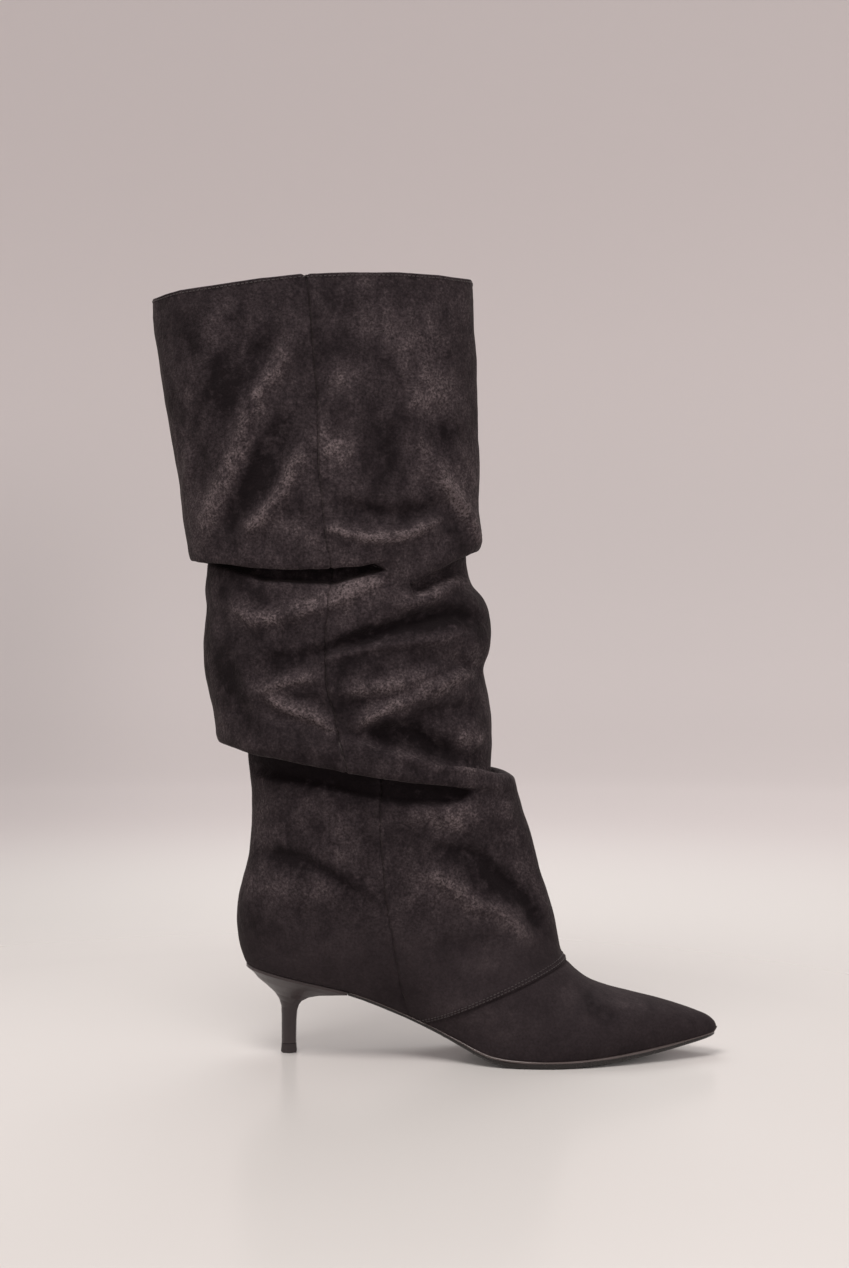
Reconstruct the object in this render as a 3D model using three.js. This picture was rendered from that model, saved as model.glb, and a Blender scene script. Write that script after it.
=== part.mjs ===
// Slouch boot for the right foot: a wide suede leg that hangs in two deep folds over a pointed foot, on a kitten heel.
// Millimetres. +Z is up, +X points to the toe and -Y to the outer side of the foot.
// The origin is the centre of the heel tip's face on the floor.
import * as THREE from "three";

// Driving sizes of the foot
const BOOT_LENGTH = 265; // back of the heel to the tip of the toe
const BALL_WIDTH = 82; // the sole's width at the ball of the foot
const HEEL_HEIGHT = 48.4; // floor to the back of the sole line
const TOE_SPRING = 11.5; // floor to the sole's under face at the toe
const INSTEP_HEIGHT = 100; // what the fronts of the foot's sections rise by, at most
const COUNTER_HEIGHT = 75; // sole line to the ankle, up the back of the heel

// Driving sizes of the leg
const LEG_HEIGHT = 284; // ankle to collar, as it stands in its folds
const LEG_DEPTH = 178; // front to back of the cuff above the upper fold
const LEG_WIDTH = 94; // side to side of the same cuff
const LEG_CENTRE = 22.5; // the cuff's middle, in front of the heel stem's axis

// Driving sizes of the sole, the heel and what the boot is cut from
const WALL = 1.6; // suede and its lining together
const SEAM_STEP = 1.2; // how far the leg's edge stands proud of the vamp where it laps over
const OUTSOLE = 3; // thickness at the tread
const OUTSOLE_EDGE = 1.2; // how far the outsole shows past the upper at the ball
const INSOLE = 2.4;
const INSOLE_ROOM = 0.9; // between the insole's edge and the upper's inner face
const GAP = 0.3; // between pieces that meet on a curved face
const BLUNT = 0.5; // half-width that the soles keep at their ends
const STEM_DEPTH = 8; // front to back of the heel's stem
const STEM_WIDTH = 8;
const TIP_HEIGHT = 5; // the heel's top piece, which wears on the floor
const TIP_FLARE = 0.35; // how far the tip spreads past the stem
const TIP_BEVEL = 0.5;

// Where things lie along the foot, as shares of BOOT_LENGTH from the back of the heel
const STEM_SHARE = 0.107;
const SOLE_BACK_SHARE = 0.018;
const BREAST_SHARE = 0.235;
const TREAD_FROM_SHARE = 0.575;
const TREAD_TO_SHARE = 0.68;
const SOLE_TIP_SHARE = 0.995;
const EDGE_FROM_SHARE = 0.36; // where the outsole's edge starts to show past the upper
const SPRING_CURVE = 1.6; // power of the sweep that lifts the toe

// The sole line behind the tread. lift: the under face, as a share of HEEL_HEIGHT. thick: a share of OUTSOLE.
const SOLE_LINE = [
  { along: 0, lift: 1.02, thick: 0.52 },
  { along: 0.13, lift: 0.868, thick: 0.52 },
  { along: 0.235, lift: 0.738, thick: 0.52 },
  { along: 0.34, lift: 0.515, thick: 0.55 },
  { along: 0.423, lift: 0.322, thick: 0.65 },
  { along: 0.465, lift: 0.212, thick: 0.75 },
  { along: 0.507, lift: 0.1, thick: 0.9 },
  { along: 0.54, lift: 0.03, thick: 1 },
  { along: TREAD_FROM_SHARE, lift: 0, thick: 1 },
  { along: TREAD_TO_SHARE, lift: 0, thick: 1 },
  { along: 0.85, lift: 0, thick: 0.85 },
  { along: 1, lift: 0, thick: 0.5 },
];

// The upper's edge seen from below, as half-widths in shares of BALL_WIDTH.
const SOLE_PLAN = [
  { along: SOLE_BACK_SHARE, outer: 0, inner: 0 },
  { along: 0.03, outer: 0.125, inner: 0.125 },
  { along: 0.05, outer: 0.195, inner: 0.195 },
  { along: 0.08, outer: 0.25, inner: 0.25 },
  { along: 0.12, outer: 0.285, inner: 0.285 },
  { along: 0.18, outer: 0.3, inner: 0.295 },
  { along: 0.24, outer: 0.29, inner: 0.275 },
  { along: 0.34, outer: 0.268, inner: 0.225 },
  { along: 0.42, outer: 0.33, inner: 0.28 },
  { along: 0.5, outer: 0.43, inner: 0.385 },
  { along: 0.57, outer: 0.492, inner: 0.462 },
  { along: 0.64, outer: 0.508, inner: 0.492 },
  { along: 0.71, outer: 0.475, inner: 0.472 },
  { along: 0.78, outer: 0.4, inner: 0.405 },
  { along: 0.86, outer: 0.288, inner: 0.3 },
  { along: 0.93, outer: 0.175, inner: 0.185 },
  { along: 0.975, outer: 0.096, inner: 0.102 },
  { along: SOLE_TIP_SHARE, outer: 0, inner: 0 },
];

// Sections of the foot, from the tip of the toe back to the heel. Each lies in a plane through a point on the crest
// (front, a share of BOOT_LENGTH) and the sole line or the back of the heel (back). rise: the crest above the back
// point, a share of INSTEP_HEIGHT. up: the back point above the sole line, a share of COUNTER_HEIGHT. wide: the
// greatest half-width, a share of BALL_WIDTH. seam: how far back the side seam crosses. lap: 1 where the leg's edge
// lies over the vamp, as a share of SEAM_STEP.
const FOOT_SECTIONS = [
  { front: 0.999, back: 0.9955, rise: 0.02, up: 0, wide: 0, seam: 0.5, lap: 0 },
  { front: 0.9955, back: 0.9905, rise: 0.05, up: 0, wide: 0.05, seam: 0.5, lap: 0 },
  { front: 0.982, back: 0.973, rise: 0.092, up: 0, wide: 0.105, seam: 0.5, lap: 0 },
  { front: 0.958, back: 0.942, rise: 0.134, up: 0, wide: 0.168, seam: 0.5, lap: 0 },
  { front: 0.92, back: 0.895, rise: 0.187, up: 0, wide: 0.252, seam: 0.5, lap: 0 },
  { front: 0.872, back: 0.83, rise: 0.247, up: 0, wide: 0.352, seam: 0.52, lap: 0 },
  { front: 0.822, back: 0.76, rise: 0.297, up: 0, wide: 0.44, seam: 0.55, lap: 0 },
  { front: 0.775, back: 0.69, rise: 0.337, up: 0, wide: 0.497, seam: 0.6, lap: 0 },
  { front: 0.735, back: 0.612, rise: 0.377, up: 0, wide: 0.513, seam: 0.65, lap: 0 },
  { front: 0.707, back: 0.53, rise: 0.408, up: 0, wide: 0.492, seam: 0.7, lap: 0 },
  { front: 0.691, back: 0.46, rise: 0.37, up: 0, wide: 0.465, seam: 0.76, lap: 0 },
  { front: 0.6855, back: 0.399, rise: 0.311, up: 0, wide: 0.452, seam: 0.82, lap: 0 },
  { front: 0.6845, back: 0.395, rise: 0.314, up: 0, wide: 0.451, seam: 0.83, lap: 1 },
  { front: 0.6729, back: 0.37, rise: 0.334, up: 0, wide: 0.44, seam: 0.87, lap: 0.75 },
  { front: 0.6676, back: 0.335, rise: 0.374, up: 0, wide: 0.432, seam: 0.9, lap: 0.35 },
  { front: 0.6609, back: 0.29, rise: 0.418, up: 0, wide: 0.426, seam: 0.848, lap: 0.1 },
  { front: 0.6515, back: 0.235, rise: 0.468, up: 0, wide: 0.424, seam: 0.745, lap: 0 },
  { front: 0.6438, back: 0.175, rise: 0.503, up: 0, wide: 0.425, seam: 0.659, lap: 0 },
  { front: 0.6369, back: 0.115, rise: 0.528, up: 0, wide: 0.43, seam: 0.585, lap: 0 },
  { front: 0.6312, back: 0.075, rise: 0.556, up: 0, wide: 0.434, seam: 0.546, lap: 0 },
  { front: 0.627, back: 0.05, rise: 0.58, up: 0, wide: 0.438, seam: 0.525, lap: 0 },
  { front: 0.6235, back: 0.033, rise: 0.602, up: 0, wide: 0.441, seam: 0.508, lap: 0 },
  { front: 0.6209, back: 0.023, rise: 0.624, up: 0, wide: 0.444, seam: 0.504, lap: 0 },
  { front: 0.6191, back: SOLE_BACK_SHARE, rise: 0.64, up: 0, wide: 0.446, seam: 0.494, lap: 0 },
  { front: 0.6139, back: 0.006, rise: 0.613, up: 0.11, wide: 0.45, seam: 0.492, lap: 0 },
  { front: 0.6089, back: 0, rise: 0.555, up: 0.255, wide: 0.455, seam: 0.484, lap: 0 },
  { front: 0.6039, back: 0.002, rise: 0.465, up: 0.43, wide: 0.46, seam: 0.486, lap: 0 },
  { front: 0.5999, back: 0.011, rise: 0.363, up: 0.61, wide: 0.464, seam: 0.496, lap: 0 },
  { front: 0.5969, back: 0.022, rise: 0.249, up: 0.8, wide: 0.468, seam: 0.507, lap: 0 },
  { front: 0.5944, back: 0.0285, rise: 0.124, up: 1, wide: 0.472, seam: 0.51, lap: 0 },
];

// Sections of the leg, from the ankle up to the collar, through both folds. front and back: shares of LEG_DEPTH from
// the leg's middle. front_up and back_up: shares of LEG_HEIGHT above the foot's top section. wide: the half-width, a
// share of LEG_WIDTH. drop: how far the sides hang below the line from front to back, a share of LEG_HEIGHT. wall:
// the wall where a fold stretches it, a share of WALL.
const LEG_SECTIONS = [
  // the ankle, up into the hollow under the lower fold
  { front: 0.596, front_up: 0.0063, back: -0.244, back_up: 0.07, wide: 0.41, drop: 0, seam: 0.508, wall: 1 },
  { front: 0.5932, front_up: 0.012, back: -0.252, back_up: 0.125, wide: 0.409, drop: 0, seam: 0.5, wall: 1 },
  { front: 0.5906, front_up: 0.0173, back: -0.262, back_up: 0.172, wide: 0.414, drop: 0, seam: 0.49, wall: 1 },
  { front: 0.5883, front_up: 0.0225, back: -0.28, back_up: 0.186, wide: 0.425, drop: 0, seam: 0.478, wall: 0.8 },
  // down its under face to the edge that hangs over the ankle at the back
  { front: 0.5857, front_up: 0.0282, back: -0.3, back_up: 0.179, wide: 0.437, drop: 0.004, seam: 0.468, wall: 0.65 },
  { front: 0.5837, front_up: 0.0352, back: -0.322, back_up: 0.165, wide: 0.461, drop: 0.011, seam: 0.46, wall: 0.6 },
  { front: 0.58, front_up: 0.0444, back: -0.342, back_up: 0.168, wide: 0.489, drop: 0.009, seam: 0.46, wall: 0.65 },
  { front: 0.573, front_up: 0.0556, back: -0.352, back_up: 0.18, wide: 0.5, drop: 0, seam: 0.5, wall: 0.7 },
  // over the lip that holds the leg at the front, and down inside it
  { front: 0.553, front_up: 0.0634, back: -0.356, back_up: 0.196, wide: 0.502, drop: -0.006, seam: 0.525, wall: 0.65 },
  { front: 0.5405, front_up: 0.0606, back: -0.36, back_up: 0.213, wide: 0.495, drop: -0.009, seam: 0.538, wall: 0.6 },
  { front: 0.533, front_up: 0.0528, back: -0.366, back_up: 0.236, wide: 0.479, drop: -0.011, seam: 0.54, wall: 0.6 },
  { front: 0.524, front_up: 0.0465, back: -0.374, back_up: 0.258, wide: 0.463, drop: -0.01, seam: 0.532, wall: 0.65 },
  { front: 0.507, front_up: 0.0549, back: -0.381, back_up: 0.278, wide: 0.458, drop: -0.007, seam: 0.527, wall: 0.75 },
  // the middle roll, pinched in at the front
  { front: 0.504, front_up: 0.0857, back: -0.388, back_up: 0.302, wide: 0.461, drop: -0.003, seam: 0.526, wall: 1 },
  { front: 0.505, front_up: 0.1257, back: -0.391, back_up: 0.326, wide: 0.468, drop: 0, seam: 0.545, wall: 1 },
  { front: 0.5055, front_up: 0.1647, back: -0.392, back_up: 0.35, wide: 0.476, drop: 0, seam: 0.554, wall: 1 },
  { front: 0.499, front_up: 0.2057, back: -0.3895, back_up: 0.372, wide: 0.476, drop: 0, seam: 0.554, wall: 1 },
  { front: 0.484, front_up: 0.2477, back: -0.386, back_up: 0.392, wide: 0.474, drop: 0, seam: 0.553, wall: 1 },
  { front: 0.482, front_up: 0.2677, back: -0.383, back_up: 0.41, wide: 0.474, drop: 0, seam: 0.552, wall: 1 },
  { front: 0.498, front_up: 0.2987, back: -0.381, back_up: 0.429, wide: 0.474, drop: 0.002, seam: 0.559, wall: 1 },
  { front: 0.506, front_up: 0.3367, back: -0.383, back_up: 0.448, wide: 0.472, drop: 0.006, seam: 0.555, wall: 1 },
  { front: 0.502, front_up: 0.3657, back: -0.385, back_up: 0.466, wide: 0.468, drop: 0.012, seam: 0.549, wall: 1 },
  { front: 0.48, front_up: 0.4037, back: -0.383, back_up: 0.482, wide: 0.462, drop: 0.018, seam: 0.539, wall: 1 },
  { front: 0.444, front_up: 0.4297, back: -0.38, back_up: 0.497, wide: 0.455, drop: 0.022, seam: 0.515, wall: 1 },
  // up under the cuff, and down to the edge that hangs over
  { front: 0.427, front_up: 0.4667, back: -0.378, back_up: 0.515, wide: 0.443, drop: 0.022, seam: 0.505, wall: 1 },
  { front: 0.423, front_up: 0.5007, back: -0.381, back_up: 0.531, wide: 0.434, drop: 0.022, seam: 0.5, wall: 1 },
  { front: 0.43, front_up: 0.5137, back: -0.392, back_up: 0.536, wide: 0.4365, drop: 0.022, seam: 0.505, wall: 0.8 },
  { front: 0.441, front_up: 0.5067, back: -0.405, back_up: 0.533, wide: 0.443, drop: 0.025, seam: 0.495, wall: 0.75 },
  { front: 0.4515, front_up: 0.4967, back: -0.417, back_up: 0.522, wide: 0.456, drop: 0.029, seam: 0.494, wall: 0.65 },
  { front: 0.4635, front_up: 0.4982, back: -0.43, back_up: 0.521, wide: 0.482, drop: 0.031, seam: 0.494, wall: 0.65 },
  { front: 0.4715, front_up: 0.5097, back: -0.4375, back_up: 0.532, wide: 0.4965, drop: 0.029, seam: 0.494, wall: 0.8 },
  // the cuff up to the collar
  { front: 0.47, front_up: 0.5347, back: -0.444, back_up: 0.556, wide: 0.5, drop: 0.02, seam: 0.503, wall: 1 },
  { front: 0.4675, front_up: 0.5717, back: -0.4555, back_up: 0.596, wide: 0.5, drop: 0.011, seam: 0.505, wall: 1 },
  { front: 0.467, front_up: 0.6117, back: -0.463, back_up: 0.637, wide: 0.5, drop: 0.004, seam: 0.507, wall: 1 },
  { front: 0.468, front_up: 0.6537, back: -0.468, back_up: 0.679, wide: 0.5, drop: 0, seam: 0.515, wall: 1 },
  { front: 0.4675, front_up: 0.6967, back: -0.4805, back_up: 0.721, wide: 0.5, drop: 0, seam: 0.508, wall: 1 },
  { front: 0.4645, front_up: 0.7397, back: -0.495, back_up: 0.763, wide: 0.5, drop: 0, seam: 0.5, wall: 1 },
  { front: 0.461, front_up: 0.7837, back: -0.508, back_up: 0.805, wide: 0.5, drop: 0, seam: 0.493, wall: 1 },
  { front: 0.458, front_up: 0.8277, back: -0.519, back_up: 0.847, wide: 0.5, drop: 0, seam: 0.493, wall: 1 },
  { front: 0.457, front_up: 0.8717, back: -0.529, back_up: 0.889, wide: 0.5, drop: 0, seam: 0.493, wall: 1 },
  { front: 0.4535, front_up: 0.9157, back: -0.538, back_up: 0.931, wide: 0.5, drop: 0, seam: 0.492, wall: 1 },
  { front: 0.45, front_up: 0.9637, back: -0.546, back_up: 0.978, wide: 0.5, drop: 0, seam: 0.492, wall: 1 },
  { front: 0.4455, front_up: 1.0177, back: -0.55, back_up: 1.03, wide: 0.5, drop: 0, seam: 0.5, wall: 1 },
];

// The heel, from its seat under the boot down to the top piece. back, front and wide run from 0, the stem's section,
// to 1, the seat's. back_up and front_up: heights as shares of HEEL_HEIGHT.
const HEEL_FLARE = [
  { back: 0.82, back_up: 0.94, front: 0.74, front_up: 0.722, wide: 0.84 },
  { back: 0.69, back_up: 0.875, front: 0.46, front_up: 0.703, wide: 0.64 },
  { back: 0.445, back_up: 0.79, front: 0.26, front_up: 0.662, wide: 0.4 },
  { back: 0.21, back_up: 0.7, front: 0.13, front_up: 0.61, wide: 0.2 },
  { back: 0.075, back_up: 0.62, front: 0.06, front_up: 0.555, wide: 0.09 },
  { back: 0.01, back_up: 0.535, front: 0.02, front_up: 0.478, wide: 0.03 },
  { back: 0, back_up: 0.39, front: 0.004, front_up: 0.36, wide: 0.006 },
  { back: 0, back_up: 0.22, front: 0, front_up: 0.22, wide: 0 },
];

// How finely the pieces are faceted
const FRONT_STEPS = 9; // crest to side seam
const BACK_STEPS = 9; // side seam to back
const SOLE_STEPS = 40;
const INSOLE_STEPS = 30;
const HEEL_STEPS = 12;
const LEG_ROUNDNESS = 0.93; // under 1 fills out the section between the crest and the side
const STEM_BREAST_SHARE = 0.6; // width of the stem's flat front, as a share of STEM_WIDTH
const MITRE_LIMIT = 1.35;

// How the lining runs on ahead of the first section that is wide enough for a wall: ahead in millimetres, across and
// tall as shares of that section
const NOSE = [
  { ahead: 2.2, across: 0, tall: 0.4 },
  { ahead: 1.5, across: 0.6, tall: 0.75 },
];

const mix = (a, b, share) => a + (b - a) * share;
const alongToX = (along) => (along - STEM_SHARE) * BOOT_LENGTH;
const alongOf = (x) => x / BOOT_LENGTH + STEM_SHARE;

// A smooth curve through one column of a table, which never overshoots its rows.
function curveOf(table, column) {
  const at = table.map((row) => row.along);
  const value = table.map((row) => row[column]);
  const steps = at.slice(1).map((a, i) => (value[i + 1] - value[i]) / (a - at[i]));
  const slope = value.map((_, i) => {
    if (i === 0) return steps[0];
    if (i === value.length - 1) return steps[i - 1];
    const [before, after] = [steps[i - 1], steps[i]];
    return before * after <= 0 ? 0 : (2 * before * after) / (before + after);
  });
  return (along) => {
    const last = at.length - 1;
    if (along <= at[0]) return value[0];
    if (along >= at[last]) return value[last];
    const i = at.findIndex((a) => a > along) - 1;
    const span = at[i + 1] - at[i];
    const t = (along - at[i]) / span;
    const rise = value[i + 1] - value[i];
    const entry = span * slope[i];
    const exit = span * slope[i + 1];
    return value[i] + t * (entry + t * (3 * rise - 2 * entry - exit + t * (entry + exit - 2 * rise)));
  };
}

const liftOf = curveOf(SOLE_LINE, "lift");
const thickOf = curveOf(SOLE_LINE, "thick");

// Squares of the half-widths are what runs smoothly, so that the heel and the toe come out round.
const squared = SOLE_PLAN.map((row) => ({
  along: row.along,
  outer: row.outer ** 2,
  inner: row.inner ** 2,
}));
const planOf = { outer: curveOf(squared, "outer"), inner: curveOf(squared, "inner") };
const halfWidth = (along, side) => Math.sqrt(planOf[side](along)) * BALL_WIDTH;

function soleUnder(along) {
  const spring = Math.max(0, (along - TREAD_TO_SHARE) / (SOLE_TIP_SHARE - TREAD_TO_SHARE));
  return liftOf(along) * HEEL_HEIGHT + TOE_SPRING * spring ** SPRING_CURVE;
}
const soleTop = (along) => soleUnder(along) + thickOf(along) * OUTSOLE;
const soleLine = (along) => soleTop(along) + GAP; // where the upper and the insole rest

// A triangle mesh from corners and faces, ready to be a mesh of the boot.
function geometryOf(points, triangles) {
  const geometry = new THREE.BufferGeometry();
  geometry.setAttribute("position", new THREE.Float32BufferAttribute(points.flatMap((p) => p.toArray()), 3));
  geometry.setIndex(triangles.flat());
  geometry.computeVertexNormals();
  return geometry;
}

// The boot's sections, each as its front and back points with its half-widths
function sectionsOfBoot() {
  const foot = FOOT_SECTIONS.map((row) => {
    const back = new THREE.Vector3(alongToX(row.back), 0, soleLine(Math.max(row.back, SOLE_BACK_SHARE)));
    back.z += row.up * COUNTER_HEIGHT;
    const front = new THREE.Vector3(alongToX(row.front), 0, back.z + row.rise * INSTEP_HEIGHT);
    const open = row.up === 0 && row.wide > 0;
    const wide = row.wide * BALL_WIDTH;
    const end = (side) => (open ? halfWidth(row.back, side) : 0);
    return {
      front,
      back,
      wide: { outer: Math.max(wide, end("outer")), inner: Math.max(wide, end("inner")) },
      end: { outer: end("outer"), inner: end("inner") },
      seam: row.seam,
      lap: row.lap,
      drop: 0,
      wall: 1,
    };
  });
  const ankle = foot[foot.length - 1];
  const leg = LEG_SECTIONS.map((row) => ({
    front: new THREE.Vector3(LEG_CENTRE + row.front * LEG_DEPTH, 0, ankle.front.z + row.front_up * LEG_HEIGHT),
    back: new THREE.Vector3(LEG_CENTRE + row.back * LEG_DEPTH, 0, ankle.back.z + row.back_up * LEG_HEIGHT),
    wide: { outer: row.wide * LEG_WIDTH, inner: row.wide * LEG_WIDTH },
    end: { outer: 0, inner: 0 },
    seam: row.seam,
    lap: 0,
    drop: row.drop * LEG_HEIGHT,
    wall: row.wall,
  }));
  return [...foot, ...leg];
}

// One side of a section, from its front point round to its end, with a corner on the side seam.
function sideOfSection(section, side) {
  const wide = section.wide[side];
  const end = section.end[side];
  const last = wide > 0 ? Math.PI - Math.asin(Math.min(1, (end / wide) ** (1 / LEG_ROUNDNESS))) : Math.PI;
  const seam = Math.acos(1 - section.seam * (1 - Math.cos(last)));
  const sign = side === "outer" ? -1 : 1;
  const points = [];
  for (let i = 0; i <= FRONT_STEPS + BACK_STEPS; i++) {
    const turn =
      i <= FRONT_STEPS ? (seam * i) / FRONT_STEPS : mix(seam, last, (i - FRONT_STEPS) / BACK_STEPS);
    const share = (1 - Math.cos(turn)) / (1 - Math.cos(last));
    const point = section.front.clone().lerp(section.back, share);
    const swell = Math.max(0, Math.sin(turn));
    point.y = sign * (i === FRONT_STEPS + BACK_STEPS ? end : wide * swell ** LEG_ROUNDNESS);
    point.z -= section.drop * swell ** 2;
    points.push(point);
  }
  return points;
}

// The upper: one shell through all the sections, open at the collar and along the sole line.
function upper() {
  const sections = sectionsOfBoot();
  const half = FRONT_STEPS + BACK_STEPS;
  const across = 2 * half;
  const grid = sections.map((section) => {
    const outer = sideOfSection(section, "outer").reverse();
    return [...outer, ...sideOfSection(section, "inner").slice(1)];
  });
  const closed = sections.map((section, i) => i > 0 && section.end.outer === 0);

  // The two halves share their corners at the tip of the toe, and up the back of the leg.
  const index = new Map();
  const base = [];
  const cornerAt = (i, j) => {
    const column = i === 0 ? Math.min(j, across - j) : closed[i] && j === across ? 0 : j;
    const key = i * (across + 1) + column;
    if (!index.has(key)) {
      index.set(key, base.length);
      base.push({ point: grid[i][column], row: i, column });
    }
    return index.get(key);
  };
  const faces = [];
  for (let i = 0; i + 1 < grid.length; i++) {
    for (let j = 0; j < across; j++) {
      const [a, b, c, d] = [cornerAt(i, j), cornerAt(i, j + 1), cornerAt(i + 1, j + 1), cornerAt(i + 1, j)];
      if (a !== b && a !== c) faces.push([a, b, c]);
      if (c !== d && a !== d) faces.push([a, c, d]);
    }
  }

  // Outward directions, and how much further a corner moves to keep the wall's thickness on its faces
  const normals = base.map(() => new THREE.Vector3());
  const faceNormals = faces.map(([a, b, c]) => {
    const ab = base[b].point.clone().sub(base[a].point);
    const ac = base[c].point.clone().sub(base[a].point);
    const weighted = ab.cross(ac);
    for (const corner of [a, b, c]) normals[corner].add(weighted);
    return weighted.clone().normalize();
  });
  normals.forEach((normal) => normal.normalize());
  const least = base.map(() => 1);
  faces.forEach((face, f) => {
    for (const corner of face) least[corner] = Math.min(least[corner], normals[corner].dot(faceNormals[f]));
  });

  // The lap stands out level where the surface turns under, so that the edge stays on the sole.
  const outside = base.map(({ point, row }, i) => {
    const out = normals[i].clone();
    out.z = Math.max(0, out.z);
    const lapped = point.clone().addScaledVector(out.normalize(), sections[row].lap * SEAM_STEP);
    const onSole = Math.abs(point.z - soleLine(Math.max(alongOf(point.x), SOLE_BACK_SHARE))) < 1e-6;
    if (onSole) lapped.z = soleLine(Math.max(alongOf(lapped.x), SOLE_BACK_SHARE));
    return lapped;
  });
  const collar = sections.length - 1;
  const collarSlope = sections[collar].front.clone().sub(sections[collar].back);
  const inside = base.map(({ point, row, column }, i) => {
    const reach = WALL * sections[row].wall * Math.min(MITRE_LIMIT, 1 / Math.max(least[i], 0.1));
    const moved = point.clone().addScaledVector(normals[i], -reach);
    const onSoleLine = !closed[row] && (column === 0 || column === across);
    const onHeelPoint = sections[row].end.outer === 0 && closed[row] && !closed[row - 1] && column === 0;
    if (onSoleLine || onHeelPoint) {
      const flat = new THREE.Vector3(normals[i].x, normals[i].y, 0).normalize();
      moved.copy(point).addScaledVector(flat, -WALL);
      moved.z = soleLine(Math.max(alongOf(moved.x), SOLE_BACK_SHARE));
    }
    if (row === collar) moved.z = point.z + ((moved.x - point.x) * collarSlope.z) / collarSlope.x;
    return moved;
  });

  // In the nose there is no room for a wall on both sides, so the lining closes over the toe's stiffener.
  base.forEach(({ row, column }, i) => {
    if (row >= NOSE.length) return;
    const open = inside[index.get(NOSE.length * (across + 1) + column)];
    const x = open.x + NOSE[row].ahead;
    const height = open.z - soleLine(alongOf(open.x));
    inside[i].set(x, open.y * NOSE[row].across, soleLine(alongOf(x)) + height * NOSE[row].tall);
  });

  // The rims: wherever a face's edge has no neighbour
  const count = base.length;
  const edges = new Set(faces.flatMap(([a, b, c]) => [`${a},${b}`, `${b},${c}`, `${c},${a}`]));
  const rims = [];
  for (const edge of edges) {
    const [a, b] = edge.split(",").map(Number);
    if (!edges.has(`${b},${a}`)) rims.push([b, a, a + count], [b, a + count, b + count]);
  }
  const lining = faces.map(([a, b, c]) => [a + count, c + count, b + count]);
  return geometryOf([...outside, ...inside], [...faces, ...lining, ...rims]);
}

// A slab that follows the sole line, between two stations along the foot. Each station gives its outline from the
// outer edge round its under side to the inner edge and back over the top.
function slab(stations) {
  const points = stations.flat();
  const round = stations[0].length;
  const faces = [];
  for (let i = 0; i + 1 < stations.length; i++) {
    for (let j = 0; j < round; j++) {
      const next = (j + 1) % round;
      const [a, b, c, d] = [i * round + j, i * round + next, (i + 1) * round + next, (i + 1) * round + j];
      faces.push([a, b, c], [a, c, d]);
    }
  }
  const last = (stations.length - 1) * round;
  for (let j = 1; j + 1 < round; j++) faces.push([0, j + 1, j], [last, last + j, last + j + 1]);
  return geometryOf(points, faces);
}

// Shares of the way along a slab, closer together towards an end that is round
function spread(from, to, steps, roundFrom, roundTo) {
  const shares = [];
  for (let i = 0; i <= steps; i++) {
    const t = i / steps;
    const eased = roundFrom && roundTo ? (1 - Math.cos(Math.PI * t)) / 2 : 1 - Math.cos((Math.PI / 2) * (1 - t));
    shares.push(mix(from, to, roundFrom && roundTo ? eased : 1 - eased));
  }
  return shares;
}

// The outsole runs from the heel's breast to the toe, and shows as a thin edge past the upper at the ball.
function outsole() {
  const from = BREAST_SHARE + GAP / BOOT_LENGTH;
  const tip = SOLE_TIP_SHARE;
  const stations = spread(from, tip, SOLE_STEPS, false, true).map((along) => {
    const fromTread = Math.min(1, Math.max(0, (along - EDGE_FROM_SHARE) / (TREAD_FROM_SHARE - EDGE_FROM_SHARE)));
    const proud = OUTSOLE_EDGE * fromTread ** 2 * Math.sqrt(Math.max(0, (tip - along) / (tip - TREAD_TO_SHARE)));
    const edge = (side) => Math.max(BLUNT, halfWidth(along, side) + Math.min(proud, OUTSOLE_EDGE));
    const [outer, inner] = [edge("outer"), edge("inner")];
    const [x, top, under] = [alongToX(along), soleTop(along), soleUnder(along)];
    const bevel = (top - under) * 0.35;
    const at = (y, z) => new THREE.Vector3(x, y, z);
    const draw = (half) => half - Math.min(bevel, half * 0.4);
    return [
      at(-outer, top),
      at(-outer, under + bevel),
      at(-draw(outer), under),
      at(draw(inner), under),
      at(inner, under + bevel),
      at(inner, top),
    ];
  });
  return slab(stations);
}

// The insole lies on the outsole and on the heel's seat, inside the upper.
function insole() {
  const inset = WALL + INSOLE_ROOM;
  const margin = inset / BOOT_LENGTH;
  const [from, to] = [SOLE_BACK_SHARE + margin, SOLE_TIP_SHARE - 2.4 * margin];
  const stations = spread(from, to, INSOLE_STEPS, true, true).map((along) => {
    const share = (along - from) / (to - from);
    const outlineAt = mix(SOLE_BACK_SHARE, SOLE_TIP_SHARE, share);
    const edge = (side) => Math.max(BLUNT, Math.min(halfWidth(outlineAt, side), halfWidth(along, side)) - inset);
    const [outer, inner] = [edge("outer"), edge("inner")];
    const [x, under] = [alongToX(along), soleLine(along)];
    const at = (y, z) => new THREE.Vector3(x, y, z);
    return [
      at(-outer, under + INSOLE),
      at(-outer, under),
      at(inner, under),
      at(inner, under + INSOLE),
    ];
  });
  return slab(stations);
}

// Half-width of the stem's section, round at the back and flat at the breast
function stemHalf(share, width) {
  const round = Math.sqrt(Math.max(0, 1 - (1 - Math.min(1, share * 1.7)) ** 2));
  const narrow = mix(1, STEM_BREAST_SHARE, Math.max(0, (share - 0.45) / 0.55) ** 2);
  return (width / 2) * round * narrow;
}

// A ring of the heel, from the back centre along the outer side, over the breast and back along the inner side.
function heelRing(shape) {
  const outer = [];
  const inner = [];
  for (let i = 0; i <= HEEL_STEPS; i++) {
    const share = 1 - Math.cos((Math.PI / 2) * (i / HEEL_STEPS));
    outer.push(shape(share, "outer", -1));
    if (i > 0) inner.push(shape(share, "inner", 1));
  }
  return [...outer, ...inner.reverse()];
}

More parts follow.
